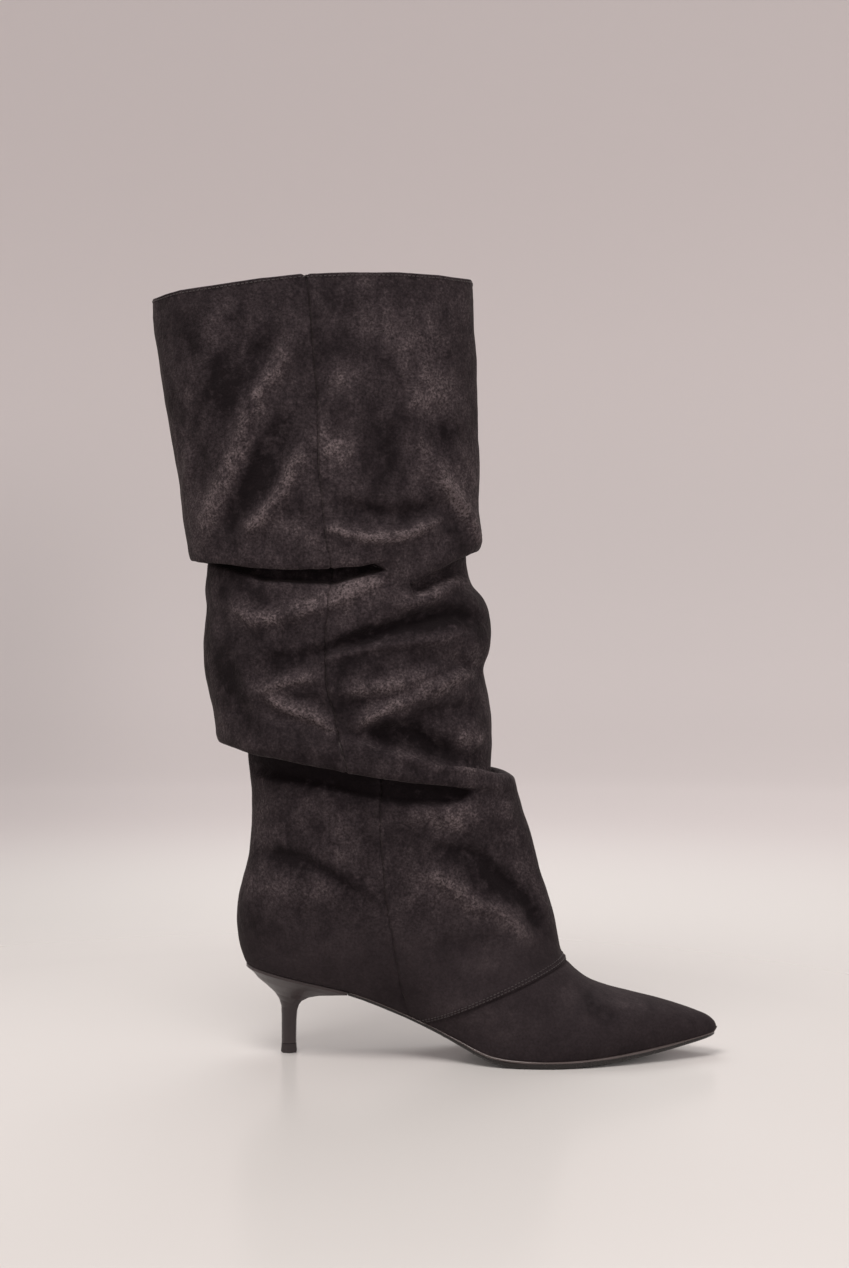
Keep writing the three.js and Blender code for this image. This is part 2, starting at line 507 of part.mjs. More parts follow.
// Rings one below the other, closed by strips from side to side at the top and the bottom.
function stack(rings) {
  const points = rings.flat();
  const round = rings[0].length;
  const faces = [];
  for (let i = 0; i + 1 < rings.length; i++) {
    for (let j = 0; j < round; j++) {
      const next = (j + 1) % round;
      const [a, b, c, d] = [i * round + j, i * round + next, (i + 1) * round + next, (i + 1) * round + j];
      faces.push([a, d, c], [a, c, b]);
    }
  }
  const cap = (first, up) => {
    for (let j = 0; j < HEEL_STEPS; j++) {
      const [a, b] = [first + j, first + j + 1];
      const [c, d] = [first + round - 1 - j, first + ((round - j) % round)];
      const made = j === 0 ? [[a, b, c]] : [[a, b, c], [a, c, d]];
      made.forEach(([p, q, r]) => faces.push(up ? [p, q, r] : [p, r, q]));
    }
  };
  cap(0, true);
  cap((rings.length - 1) * round, false);
  return geometryOf(points, faces);
}

const stemBack = -STEM_DEPTH / 2;
const stemFront = STEM_DEPTH / 2;

// The heel: a seat cut to the sole line, flared down into a thin stem.
function heel() {
  const seatBack = alongToX(SOLE_BACK_SHARE);
  const seatFront = alongToX(BREAST_SHARE);
  const seatRing = (height) =>
    heelRing((share, side, sign) => {
      const x = mix(seatBack, seatFront, share);
      return new THREE.Vector3(x, sign * halfWidth(alongOf(x), side), height(alongOf(x)));
    });
  const flared = HEEL_FLARE.map((row) => {
    const back = mix(stemBack, seatBack, row.back);
    const front = mix(stemFront, seatFront, row.front);
    return heelRing((share, side, sign) => {
      const seatAt = mix(SOLE_BACK_SHARE, BREAST_SHARE, share);
      const half = mix(stemHalf(share, STEM_WIDTH), halfWidth(seatAt, side), row.wide);
      const z = mix(row.back_up, row.front_up, share) * HEEL_HEIGHT;
      return new THREE.Vector3(mix(back, front, share), sign * half, z);
    });
  });
  const foot = heelRing(
    (share, side, sign) =>
      new THREE.Vector3(mix(stemBack, stemFront, share), sign * stemHalf(share, STEM_WIDTH), TIP_HEIGHT + GAP),
  );
  return stack([seatRing(soleTop), seatRing(soleUnder), ...flared, foot]);
}

// The top piece that the heel stands on
function heelTip() {
  const ring = (grow, z) =>
    heelRing((share, side, sign) => {
      const x = mix(stemBack - grow, stemFront + grow, share);
      return new THREE.Vector3(x, sign * stemHalf(share, STEM_WIDTH + 2 * grow), z);
    });
  return stack([ring(0, TIP_HEIGHT), ring(TIP_FLARE, TIP_BEVEL), ring(TIP_FLARE - TIP_BEVEL, 0)]);
}

const boot = new THREE.Group();
function add(name, geometry, colour, roughness) {
  const material = new THREE.MeshStandardMaterial({ color: colour, roughness, metalness: 0 });
  const mesh = new THREE.Mesh(geometry, material);
  mesh.name = name;
  boot.add(mesh);
}
add("upper", upper(), 0x2f2a2b, 0.95);
add("outsole", outsole(), 0x2b2726, 0.45);
add("insole", insole(), 0x8a7460, 0.7);
add("heel", heel(), 0x38322f, 0.4);
add("heel_tip", heelTip(), 0x1d1b1b, 0.6);

export default boot;
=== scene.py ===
import math
import bmesh
import bpy
import numpy as np
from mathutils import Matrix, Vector, noise


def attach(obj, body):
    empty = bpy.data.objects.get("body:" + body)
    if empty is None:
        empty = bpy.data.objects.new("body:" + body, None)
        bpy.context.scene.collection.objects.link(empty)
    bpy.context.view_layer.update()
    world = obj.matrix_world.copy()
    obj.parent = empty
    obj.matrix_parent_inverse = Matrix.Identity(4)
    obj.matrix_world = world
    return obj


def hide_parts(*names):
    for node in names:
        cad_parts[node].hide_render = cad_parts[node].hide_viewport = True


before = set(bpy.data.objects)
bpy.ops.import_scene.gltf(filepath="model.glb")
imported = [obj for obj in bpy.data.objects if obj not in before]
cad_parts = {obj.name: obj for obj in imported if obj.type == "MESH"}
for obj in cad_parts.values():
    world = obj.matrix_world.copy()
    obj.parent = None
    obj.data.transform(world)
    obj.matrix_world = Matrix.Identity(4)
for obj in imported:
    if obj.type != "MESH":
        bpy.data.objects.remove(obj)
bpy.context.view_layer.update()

# The camera
# A level lens at about half the boot's height, 1.1 m away, facing the outer side of a right boot
# and turned a degree and a half towards the heel.
CAMERA_TURN = 1.5

lens = bpy.data.cameras.new("camera")
lens.lens = 56.38
lens.sensor_width = 36.0
lens.sensor_fit = "AUTO"
lens.dof.use_dof = False
camera = bpy.data.objects.new("camera", lens)
camera.location = (0.1041, -1.0996, 0.2318)
camera.rotation_euler = (math.radians(90), 0, math.radians(CAMERA_TURN))
bpy.context.scene.collection.objects.link(camera)
bpy.context.scene.camera = camera

# The studio
# A seamless sweep of pale lacquered board: a glossy floor that turns up into a wall all round.
# The floor is painted darker away from the boot, and the wall darker and pinker still: the pink is
# the wall's own colour, the darkening is painted shade. Away from the boot the board glows a little,
# in place of the lamps that light a studio's background.
SWEEP_PROFILE = [(0, 0), (0.6, 0), (1.4, 0), (2.2, 0), (2.65, 0.05), (3.0, 0.2),
                 (3.25, 0.45), (3.4, 0.8), (3.45, 1.3), (3.45, 2.6)]
FLOOR_COLOUR = "dcd9d6"
FAR_FLOOR_PAINTED_SHADE = "cfc8c7"
WALL_COLOUR_AND_PAINTED_SHADE = "c4bcbb"
NEAR_GLOW = 0.04
FAR_GLOW = 0.34
CORNER_SHADE = 0.13
BEND_SHADE = 0.04


def linear(hexcode):
    """An sRGB hex colour as linear RGBA."""
    parts = [int(hexcode[i:i + 2], 16) / 255 for i in (0, 2, 4)]
    return tuple(c / 12.92 if c <= 0.04045 else ((c + 0.055) / 1.055) ** 2.4 for c in parts) + (1.0,)


def add(material, kind, sockets=None, **settings):
    """One node with its settings, and each socket's value or link."""
    made = material.node_tree.nodes.new(kind)
    for name, value in settings.items():
        setattr(made, name, value)
    for socket, value in (sockets or {}).items():
        if isinstance(value, bpy.types.NodeSocket):
            material.node_tree.links.new(value, made.inputs[socket])
        else:
            made.inputs[socket].default_value = value
    return made


def empty_material(name):
    made = bpy.data.materials.new(name)
    made.use_nodes = True
    made.node_tree.nodes.clear()
    return made


def figure(material, operation, *values):
    """One step of arithmetic on two or three values."""
    return add(material, "ShaderNodeMath", dict(enumerate(values)), operation=operation).outputs[0]


def blend(material, share, first, second):
    """A colour between two others."""
    return add(material, "ShaderNodeMix", {"Factor": share, 6: first, 7: second},
               data_type="RGBA").outputs[2]


def ramp(material, value, low, high, start=0.0, end=1.0, way="SMOOTHSTEP"):
    """A value carried over from one range to another."""
    return add(material, "ShaderNodeMapRange",
               {"Value": value, "From Min": low, "From Max": high, "To Min": start, "To Max": end},
               interpolation_type=way).outputs["Result"]


def surface(material, sockets):
    """The material's one shader, joined to its output."""
    shader = add(material, "ShaderNodeBsdfPrincipled", sockets).outputs["BSDF"]
    add(material, "ShaderNodeOutputMaterial", {"Surface": shader})


board = empty_material("lacquered_board")
where = add(board, "ShaderNodeTexCoord").outputs["Object"]
height = add(board, "ShaderNodeSeparateXYZ", {0: where}).outputs["Z"]
reach = add(board, "ShaderNodeVectorMath", {0: where}, operation="LENGTH").outputs["Value"]
leftwards = add(board, "ShaderNodeVectorMath", {0: where, 1: (1.0, 0.2, 0.0)},
                operation="DOT_PRODUCT").outputs["Value"]
# Painted shade: the board is painted darker towards the far floor, and darker and pinker up the
# wall.
paint = blend(board, ramp(board, reach, 0.45, 1.5), linear(FLOOR_COLOUR), linear(FAR_FLOOR_PAINTED_SHADE))
paint = blend(board, ramp(board, height, 0.2, 1.4), paint, linear(WALL_COLOUR_AND_PAINTED_SHADE))

# The light falls away in the far left corner, and a little where the floor has turned up.
corner = figure(board, "MULTIPLY", ramp(board, leftwards, -0.3, 0.12, CORNER_SHADE, 0.0),
                ramp(board, reach, 0.2, 0.6))
corner = figure(board, "MULTIPLY", corner, ramp(board, height, 0.1, 0.75, 1.0, 0.0))
bend = figure(board, "MULTIPLY", ramp(board, height, 0.12, 0.4, 0.0, BEND_SHADE),
              ramp(board, height, 0.5, 0.9, 1.0, 0.0))
lit = figure(board, "SUBTRACT", figure(board, "SUBTRACT", 1.0, corner), bend)
paint = add(board, "ShaderNodeVectorMath", {0: paint, "Scale": lit}, operation="SCALE").outputs[0]
surface(board, {"Base Color": paint,
                "Roughness": ramp(board, reach, 0.35, 1.3, 0.2, 0.95, "LINEAR"),
                "IOR": 1.45,
                "Specular IOR Level": 0.06,
                "Emission Color": paint,
                "Emission Strength": ramp(board, reach, 0.35, 1.9, NEAR_GLOW, FAR_GLOW, "LINEAR")})


def worked(name, mesh, material, work):
    """A piece made of a mesh, with one piece of work done to all of it."""
    made = bpy.data.objects.new(name, mesh)
    bpy.context.scene.collection.objects.link(made)
    bpy.ops.object.select_all(action="DESELECT")
    bpy.context.view_layer.objects.active = made
    made.select_set(True)
    bpy.ops.object.mode_set(mode="EDIT")
    bpy.ops.mesh.select_all(action="SELECT")
    work()
    bpy.ops.object.mode_set(mode="OBJECT")
    bpy.ops.object.shade_smooth()
    mesh.materials.append(material)
    return made


def turn_round():
    """The outline turned round the upright axis and closed."""
    bpy.ops.mesh.spin(steps=96, angle=math.tau, center=(0, 0, 0), axis=(0, 0, 1))
    bpy.ops.mesh.select_all(action="SELECT")
    bpy.ops.mesh.remove_doubles(threshold=0.0005)
    bpy.ops.mesh.normals_make_consistent(inside=True)


outline = bpy.data.meshes.new("sweep")
outline.from_pydata([(r, 0, z) for r, z in SWEEP_PROFILE],
                    [(i, i + 1) for i in range(len(SWEEP_PROFILE) - 1)], [])
sweep = worked("sweep", outline, board, turn_round)

LAMPS = [  # name, place, aims at, size, watts, colour
    ("key_lamp", (-0.25, -0.75, 1.6), (0.05, 0, 0.22), 0.95, 18, "fffaf7"),
    ("fill_lamp", (1.1, -1.3, 0.9), (0.08, 0, 0.2), 1.0, 3.5, "faf6fa"),
    ("rim_lamp", (0.0, 0.9, 1.3), (0.06, 0, 0.25), 0.9, 6, "ffffff"),
    ("wall_lamp", (1.3, 1.1, 1.5), (1.0, 2.4, 0.0), 1.0, 6, "fffefa"),
]
for name, place, aim, size, watts, tint in LAMPS:
    lamp = bpy.data.lights.new(name, "AREA")
    lamp.shape = "DISK"
    lamp.size = size
    lamp.energy = watts
    lamp.color = linear(tint)[:3]
    stand = bpy.data.objects.new(name, lamp)
    stand.location = place
    stand.rotation_euler = (Vector(aim) - Vector(place)).to_track_quat("-Z", "Y").to_euler()
    bpy.context.scene.collection.objects.link(stand)

sky = bpy.data.worlds.new("soft_room")
sky.use_nodes = True
sky.node_tree.nodes["Background"].inputs["Color"].default_value = linear("efe9e6")
sky.node_tree.nodes["Background"].inputs["Strength"].default_value = 0.47
bpy.context.scene.world = sky
bpy.context.scene.view_settings.view_transform = "Standard"

# The upper's pattern
# The upper is one napped suede: a vamp over the toes, and a leg of a front and a back panel sewn
# up both sides, slouched into a cuff, a middle and an ankle. The plain solid of the upper was
# lofted through 73 rows from the toe to the collar, so its outer and inner skins are laid out
# here again as rows of 37 points, from the outer feather or back seam over the front to the inner.
ROWS = 73
POINTS = 37
LAP_ROW = 12
FIRST_CLOSED_ROW = 23
OUTER_SEAM = 9
CREST = 18
INNER_SEAM = 27


def skins_of(node):
    """The outer and the inner skin of the upper's solid, in millimetres, as two grids of rows."""
    skin = bmesh.new()
    skin.from_mesh(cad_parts[node].data)
    bmesh.ops.remove_doubles(skin, verts=skin.verts, dist=2e-6)
    skin.normal_update()
    rim = [f for f in skin.faces if f.normal.z > 0.95 and f.calc_center_median().z > 0.415]
    row = list({v for face in rim for v in face.verts})
    bmesh.ops.delete(skin, geom=rim, context="FACES")
    collar = row
    layer = {v: 0 for v in row}
    for depth in range(1, ROWS):
        below = []
        for v in row:
            for edge in v.link_edges:
                other = edge.other_vert(v)
                if other not in layer:
                    layer[other] = depth
                    below.append(other)
        row = below
    grids = []
    front = sorted((v for v in collar if v.co.x > 0), key=lambda v: abs(v.co.y))[:2]
    for crest in sorted(front, key=lambda v: -v.co.x):
        grid = np.zeros((ROWS, POINTS, 3))
        for depth in range(ROWS):
            grid[ROWS - 1 - depth, CREST] = crest.co * 1000
            for side in (-1, 1):
                at, before = crest, None
                for step in range(1, CREST + 1):
                    onward = [o for o in (e.other_vert(at) for e in at.link_edges)
                              if layer.get(o) == depth and o is not before]
                    if before is None:
                        onward = sorted(onward, key=lambda o: side * -o.co.y)
                    if onward:
                        before, at = at, onward[0]
                    grid[ROWS - 1 - depth, CREST + side * step] = at.co * 1000
            lower = [o for o in (e.other_vert(crest) for e in crest.link_edges)
                     if layer.get(o) == depth + 1]
            if lower:
                crest = min(lower, key=lambda o: abs(o.co.y))
        grids.append(grid)
    skin.free()
    return grids


outer_skin, inner_skin = skins_of("upper")


def pad(grid):
    """The grid with one more point past each end of its rows: round the back, or straight on."""
    before = 2 * grid[:, :1] - grid[:, 1:2]
    after = 2 * grid[:, -1:] - grid[:, -2:-1]
    before[FIRST_CLOSED_ROW:] = grid[FIRST_CLOSED_ROW:, -2:-1]
    after[FIRST_CLOSED_ROW:] = grid[FIRST_CLOSED_ROW:, 1:2]
    return np.concatenate([before, grid, after], axis=1)


def refine(grid, gaps):
    """Rows added between the rows of a grid, each column a smooth curve through its points."""
    ahead = grid[1:] - grid[:-1]
    span = np.sqrt(np.maximum(np.linalg.norm(ahead, axis=2, keepdims=True), 1e-4))
    slope = ahead / span
    tangent = np.empty_like(grid)
    tangent[0] = slope[0]
    tangent[-1] = slope[-1]
    tangent[1:-1] = (slope[:-1] * span[1:] + slope[1:] * span[:-1]) / (span[:-1] + span[1:])
    made = []
    for i, shares in enumerate(gaps):
        for u in shares:
            made.append((2 * u**3 - 3 * u**2 + 1) * grid[i]
                        + (u**3 - 2 * u**2 + u) * span[i] * tangent[i]
                        + (3 * u**2 - 2 * u**3) * grid[i + 1]
                        + (u**3 - u**2) * span[i] * tangent[i + 1])
    made.append(grid[-1])
    return np.array(made)


def even(count):
    return [i / count for i in range(count)]


def tangent_of(grid, axis):
    """The direction along one axis of a grid, halfway between the steps before and after."""
    step = np.diff(grid, axis=axis)
    step = step / np.maximum(np.linalg.norm(step, axis=2, keepdims=True), 1e-6)
    first, last = np.take(step, [0], axis=axis), np.take(step, [-1], axis=axis)
    return np.concatenate([first, step], axis=axis) + np.concatenate([step, last], axis=axis)


def normals_of(grid):
    """A unit normal at each point of a grid, outwards."""
    made = np.cross(tangent_of(grid, 1), tangent_of(grid, 0))
    size = np.linalg.norm(made, axis=2, keepdims=True)
    made = made / np.maximum(size, 1e-9)
    for r in range(len(made) - 2, -1, -1):
        thin = size[r, :, 0] < 1e-3
        made[r][thin] = made[r + 1][thin]
    return made


def ease(low, high, value):
    t = np.clip((value - low) / (high - low), 0, 1)
    return t * t * (3 - 2 * t)


# Points across a row: close on the outer side, closer at a seam and at the feather, wider inside.
AT_SEAM = [0, 0.045, 0.09, 0.14, 0.2, 0.28, 0.38, 0.5, 0.62, 0.75, 0.88]
TO_SEAM = [0, 0.12, 0.25, 0.38, 0.5, 0.62, 0.72, 0.8, 0.86, 0.91, 0.955]
WIDE_AT_SEAM = [0, 0.08, 0.25, 0.6]
WIDE_TO_SEAM = [0, 0.4, 0.75, 0.92]
across = [even(4)] + [AT_SEAM] + [even(9)] * 7 + [TO_SEAM] + [AT_SEAM] + [even(9)] * 8
across += [even(4)] * 8 + [WIDE_TO_SEAM] + [WIDE_AT_SEAM] + [even(4)] * 7 + [WIDE_TO_SEAM]
across += [even(9)]


def column_of(point):
    """Which column of the fine grid lies on a point of the coarse row."""
    return sum(len(shares) for shares in across[1:point + 1])


def lay_out(grid, first, last, step, like=None):
    """The fine grid between two coarse rows, with each fine row's place in coarse rows."""
    part = pad(grid)[first:last + 1]
    lengths = np.linalg.norm(part[1:] - part[:-1], axis=2)[:, 1:CREST + 2]
    if like is not None:
        lengths = np.linalg.norm(np.diff(pad(like)[first:last + 1], axis=0), axis=2)[:, 1:CREST + 2]
    gaps = [even(max(2, math.ceil(np.percentile(gap, 80) / step))) for gap in lengths]
    places = np.array([first + i + u for i, shares in enumerate(gaps) for u in shares] + [last])
    fine = refine(part, gaps)
    fine = refine(fine.transpose(1, 0, 2), across).transpose(1, 0, 2)
    return fine, places


def trim(grid):
    """A fine grid without the points past the ends of its rows."""
    return grid[:, len(across[0]):-len(across[-1])]


# The creases
# Slouched suede buckles where it hangs over itself: soft ridges with a steep underside and the
# troughs between them. Each is listed in the boot's own millimetres, as its height, its half-width,
# and the points (towards the toe, above the floor) that it runs through.
CUFF_CREASES = [
    (3.4, 6, [(6, 397), (-8, 375), (-19, 361), (-26, 339), (-32, 322), (-39, 306), (-47, 284)]),
    (3.4, 5, [(6, 334), (-2, 311), (-13, 297), (-27, 286)]),
    (-3.4, 8, [(-2, 350), (-15, 325), (-24, 306), (-36, 286)]),
    (1.0, 6, [(-41, 417), (-46, 392), (-49, 367)]),
    (1.2, 3.5, [(-56, 334), (-55, 325), (-56, 317)]),
    (1.6, 10, [(20, 336), (31, 325)]),
    (1.8, 13, [(66, 366), (86, 359)]),
    (-1.6, 12, [(51, 339), (73, 331), (92, 339)]),
    (2.8, 3.6, [(82, 329), (89, 311), (98, 300), (105, 284)]),
    (-2.4, 6, [(76, 318), (85, 301), (96, 286)]),
    (-3.4, 5.5, [(28, 304), (42, 301), (57, 299), (73, 301), (86, 306)]),
    (2.2, 3.2, [(20, 290), (34, 286), (51, 284), (67, 287), (84, 295)]),
    (-1.6, 9, [(-11, 395), (-15, 378), (-2, 370)]),
    (1.3, 1.7, [(86, 316), (93, 304), (100, 292), (105, 281)]),
    (1.1, 1.7, [(20, 291), (34, 287), (51, 284), (67, 287), (84, 295)]),
    (0.9, 1.7, [(-56, 333), (-55, 325), (-57, 312)]),
]
MIDDLE_CREASES = [
    (3.2, 5, [(-30, 247), (-19, 239), (1, 242), (28, 250), (53, 264)]),
    (-6.0, 4.8, [(16, 221), (31, 227), (46, 232), (62, 238), (78, 244), (95, 244), (109, 239)]),
    (-2.0, 4.5, [(-13, 219), (1, 219), (17, 222)]),
    (3.0, 3.6, [(18, 217), (31, 221), (44, 224), (59, 226), (78, 228), (93, 230)]),
    (-4.6, 3.6, [(71, 256), (75, 261), (83, 265), (91, 269), (99, 271)]),
    (3.4, 4.2, [(63, 247), (76, 250), (87, 256), (96, 261)]),
    (1.6, 9, [(39, 244), (59, 251)]),
    (2.4, 3.6, [(-15, 199), (-5, 204), (6, 206), (18, 206)]),
    (3.2, 3.8, [(-12, 198), (-4, 192), (6, 188), (17, 184), (27, 175)]),
    (-1.6, 4.2, [(-3, 196), (9, 196), (20, 194)]),
    (-1.4, 6, [(-19, 212), (-2, 212), (14, 213)]),
    (2.2, 3.6, [(27, 199), (45, 201), (62, 204), (76, 209), (88, 215)]),
    (-1.8, 3.2, [(31, 193), (48, 195), (64, 198), (78, 201)]),
    (3.6, 4.2, [(39, 182), (51, 188), (62, 193), (76, 199), (89, 206), (104, 211)]),
    (-6.0, 7, [(43, 175), (53, 177), (64, 178), (74, 174), (83, 168), (89, 163)]),
    (-3.0, 5.5, [(64, 182), (78, 188), (92, 191), (104, 192)]),
    (3.0, 7, [(94, 177), (104, 168)]),
    (1.6, 4, [(-28, 220), (-24, 206), (-17, 192), (-11, 177)]),
    (-1.2, 5, [(-34, 222), (-31, 200), (-24, 181)]),
    (-2.2, 4, [(91, 220), (101, 214), (108, 212)]),
    (1.8, 3.4, [(35, 171), (51, 170), (63, 165), (78, 160), (95, 157), (112, 155)]),
    (1.2, 5, [(-27, 171), (1, 168), (28, 166)]),
]
POCKET_CREASES = [
    (1.0, 2.0, [(65, 247), (66, 252), (68, 257)]),
]
ANKLE_CREASES = [
    (-1.6, 3.2, [(-19, 112), (1, 109), (14, 104), (28, 96), (48, 81)]),
    (1.0, 5, [(-15, 119), (6, 115), (26, 107)]),
    (-2.4, 4.2, [(83, 114), (95, 112), (106, 109), (117, 97), (128, 89), (136, 77), (143, 64)]),
    (2.2, 4.6, [(72, 101), (89, 92), (103, 81), (117, 77), (134, 61)]),
    (1.6, 7, [(61, 130), (84, 131), (107, 127)]),
    (1.2, 2.8, [(120, 141), (121, 127)]),
    (-0.9, 6, [(78, 59), (101, 61), (123, 67)]),
    (-1.0, 9, [(-2, 81), (17, 75), (31, 81)]),
    (0.8, 10, [(-15, 95), (-17, 67)]),
]
VAMP_CREASES = [
    (-0.6, 3.5, [(167, 36), (173, 25), (184, 21)]),
]
INNER_SIDE_CREASES = [
    (1.8, 7, [(0, 400), (10, 370), (6, 335), (-8, 300)]),
    (-1.8, 8, [(60, 350), (50, 320), (30, 296)]),
    (2.0, 6, [(85, 330), (80, 305), (62, 286)]),
    (2.4, 5.5, [(-24, 250), (5, 244), (40, 250), (75, 262)]),
    (-3.6, 5, [(5, 226), (35, 229), (70, 240), (100, 244)]),
    (2.4, 5, [(-20, 202), (10, 206), (45, 203), (85, 214)]),
    (-3.4, 7, [(20, 182), (50, 184), (80, 178), (100, 168)]),
    (-1.6, 4, [(-15, 112), (10, 106), (40, 92)]),
    (-1.8, 5, [(85, 112), (110, 100), (132, 78)]),
    (1.6, 5, [(75, 96), (100, 84), (125, 68)]),
]
HOLLOWS = [  # depth, first and last row, and the lower edge of the dark under each overhang
    (9, 50, 55.6, [(-49, 272), (-44, 270), (-30, 267), (-15, 261), (6, 260), (26, 259), (34, 262),
                   (51, 266), (64, 272)]),
    (5, 26, 32.4, [(-29, 157), (-24, 154), (1, 149), (23, 145), (48, 139), (62, 137), (88, 136),
                   (97, 139), (104, 147), (108, 154)]),
]
ZONES = [  # creases, first and last row of the coarse grid with an edge that fades, side
    (CUFF_CREASES, 57.0, 80.0, 1.5, -1),
    (MIDDLE_CREASES, 34.5, 54.0, 1.2, -1),
    (POCKET_CREASES, 47.0, 61.0, 1.0, -1),
    (ANKLE_CREASES, 5.0, 30.5, 1.0, -1),
    (VAMP_CREASES, -5.0, 12.5, 1.0, -1),
    (INNER_SIDE_CREASES[:3], 57.0, 80.0, 1.5, 1),
    (INNER_SIDE_CREASES[3:7], 34.5, 54.0, 1.2, 1),
    (INNER_SIDE_CREASES[7:], 5.0, 30.5, 1.0, 1),
]


# The eye that the creases were drawn from: how far towards the toe, away and up it stands.
EYE_ALONG, EYE_AWAY, EYE_HEIGHT = 75.3, 1100, 231.3


def on_the_plane(grid, side):
    """Where the points stand in the upright plane that the creases were placed in."""
    turn = math.radians(CAMERA_TURN)
    x = grid[..., 0] - EYE_ALONG
    y = grid[..., 1] * -side
    along = x * math.cos(turn) + y * math.sin(turn)
    away = y * math.cos(turn) - x * math.sin(turn)
    share = EYE_AWAY / (EYE_AWAY + away)
    return EYE_ALONG + along * share, EYE_HEIGHT + (grid[..., 2] - EYE_HEIGHT) * share


def relief(grid, normals, rows, zones):
    """What a table of strokes adds at each point, each fading out round its own line."""
    made = np.zeros(grid.shape[:2])
    for creases, first, last, fade, side in zones:
        zone = ease(first - fade / 2, first + fade / 2, rows)
        zone = zone * (1 - ease(last - fade / 2, last + fade / 2, rows))
        weight = ease(-0.12, 0.3, normals[..., 1] * side) * zone[:, None]
        a, h = on_the_plane(grid, side)
        for height, half, points in creases:
            points = np.array([[(p[0], p[1], 0.0)] for p in points])
            if len(points) > 2:
                points = refine(points, [even(8)] * (len(points) - 1))
            else:
                points = refine(points, [even(12)])
            line = points[:, 0, :2]
            low, high = line.min(0) - 3.2 * half, line.max(0) + 3.2 * half
            near = (a > low[0]) & (a < high[0]) & (h > low[1]) & (h < high[1]) & (weight > 0.001)
            if not near.any():
                continue
            across_to = a[near][:, None] - line[None, :, 0]
            up_to = h[near][:, None] - line[None, :, 1]
            far = np.hypot(across_to, up_to)
            closest = far.argmin(1)
            picked = np.arange(len(closest))
            far, up = far[picked, closest], up_to[picked, closest]
            lean = np.sign(height) * up / np.maximum(far, 0.5)
            width = half * (1 + 0.34 * lean)
            place = closest / (len(line) - 1)
            ends = np.minimum(1, np.minimum(place, 1 - place) / 0.22)
            swell = np.exp(-(far / width) ** 2) * (0.35 + 0.65 * np.sin(ends * math.pi / 2))
            made[near] += height * swell * weight[near]
    return made


def hollow(grid, normals, rows):
    """How far in mm the suede draws in under the overhangs of the cuff and the middle."""
    made = np.zeros(grid.shape[:2])
    a, h = on_the_plane(grid, -1)
    for depth, first, last, points in HOLLOWS:
        edge = np.interp(a, [p[0] for p in points], [p[1] for p in points])
        zone = ease(first - 1, first, rows) * (1 - ease(last - 0.6, last, rows))
        start, end = points[0][0], points[-1][0]
        inside = ease(start, start + 14, a) * (1 - ease(end - 14, end, a))
        weight = ease(0.0, 0.35, -normals[..., 1]) * inside * zone[:, None]
        made -= depth * ease(-1.0, 4.0, h - edge) * weight
    return made


def ripple(grid, size, depth, seed):
    """Slow uneven waves of the suede, in mm."""
    flat = grid.reshape(-1, 3) / size
    made = [noise.noise(Vector((p[0] + seed, p[1], p[2] * 0.8))) for p in flat]
    return np.array(made).reshape(grid.shape[:2]) * depth


def arc_from(grid, column):
    """How far along its row each point lies from one column, in mm."""
    step = np.linalg.norm(np.diff(grid, axis=1), axis=2)
    run = np.concatenate([np.zeros((len(grid), 1)), np.cumsum(step, axis=1)], axis=1)
    return run - run[:, column:column + 1]


def dent(far, half):
    return np.exp(-(far / half) ** 2)


# The napped suede
# Sheepskin or microfibre suede, drum-dyed a brown black and brushed: a short nap that drinks the
# light, goes paler wherever a hand has laid it over, and shows a soft bloom at a slant. It is
# crumpled and worn up the leg, and calmer over the foot, as the attribute "handled" says.
# The deep and the brushed colours also serve as painted shade and painted highlights, set by a
# per-point attribute: paler along the ridges, deeper in the troughs and under the lips.
SUEDE_DEEP_AND_PAINTED_SHADE = "161113"
SUEDE_BODY = "1d171b"
SUEDE_BRUSHED_AND_PAINTED_HIGHLIGHT = "4a4243"

# The spots' sizes are in metres. The fibres are drawn coarser than they are, so that they show.
PATCH = 0.034
BLOTCH = 0.0095
CRINKLE = 0.0065
MOTTLE = 0.0026
FIBRE = 0.0013

# How handled the foot is, and the two heights in millimetres between which the leg takes over.
CALM = 0.35
CALM_BELOW, CRUMPLED_ABOVE = 52.0, 100.0


def spots(material, where, size, detail=2.0, roughness=0.5, distortion=0.0):
    """An uneven pattern of spots of one real size."""
    return add(material, "ShaderNodeTexNoise",
               {"Vector": where, "Scale": 1 / size, "Detail": detail, "Roughness": roughness,
                "Distortion": distortion}).outputs["Fac"]


suede = empty_material("napped_suede")
where = add(suede, "ShaderNodeTexCoord").outputs["Object"]
slant = add(suede, "ShaderNodeMapping", {"Vector": where, "Rotation": (0.0, 0.5, 0.0),
                                        "Scale": (1.0, 1.0, 0.62)}).outputs["Vector"]
patches = spots(suede, slant, PATCH, 2.0, 0.5, 0.3)
blotches = spots(suede, slant, BLOTCH, 3.0, 0.55, 0.4)
crinkle = spots(suede, where, CRINKLE, 4.0, 0.6, 0.2)
mottle = spots(suede, where, MOTTLE, 3.0, 0.65)
fibres = spots(suede, where, FIBRE, 2.0, 0.7)
painted_light_and_nap = add(suede, "ShaderNodeAttribute", attribute_name="painted_light_and_nap").outputs["Fac"]
handled = add(suede, "ShaderNodeAttribute", attribute_name="handled").outputs["Fac"]

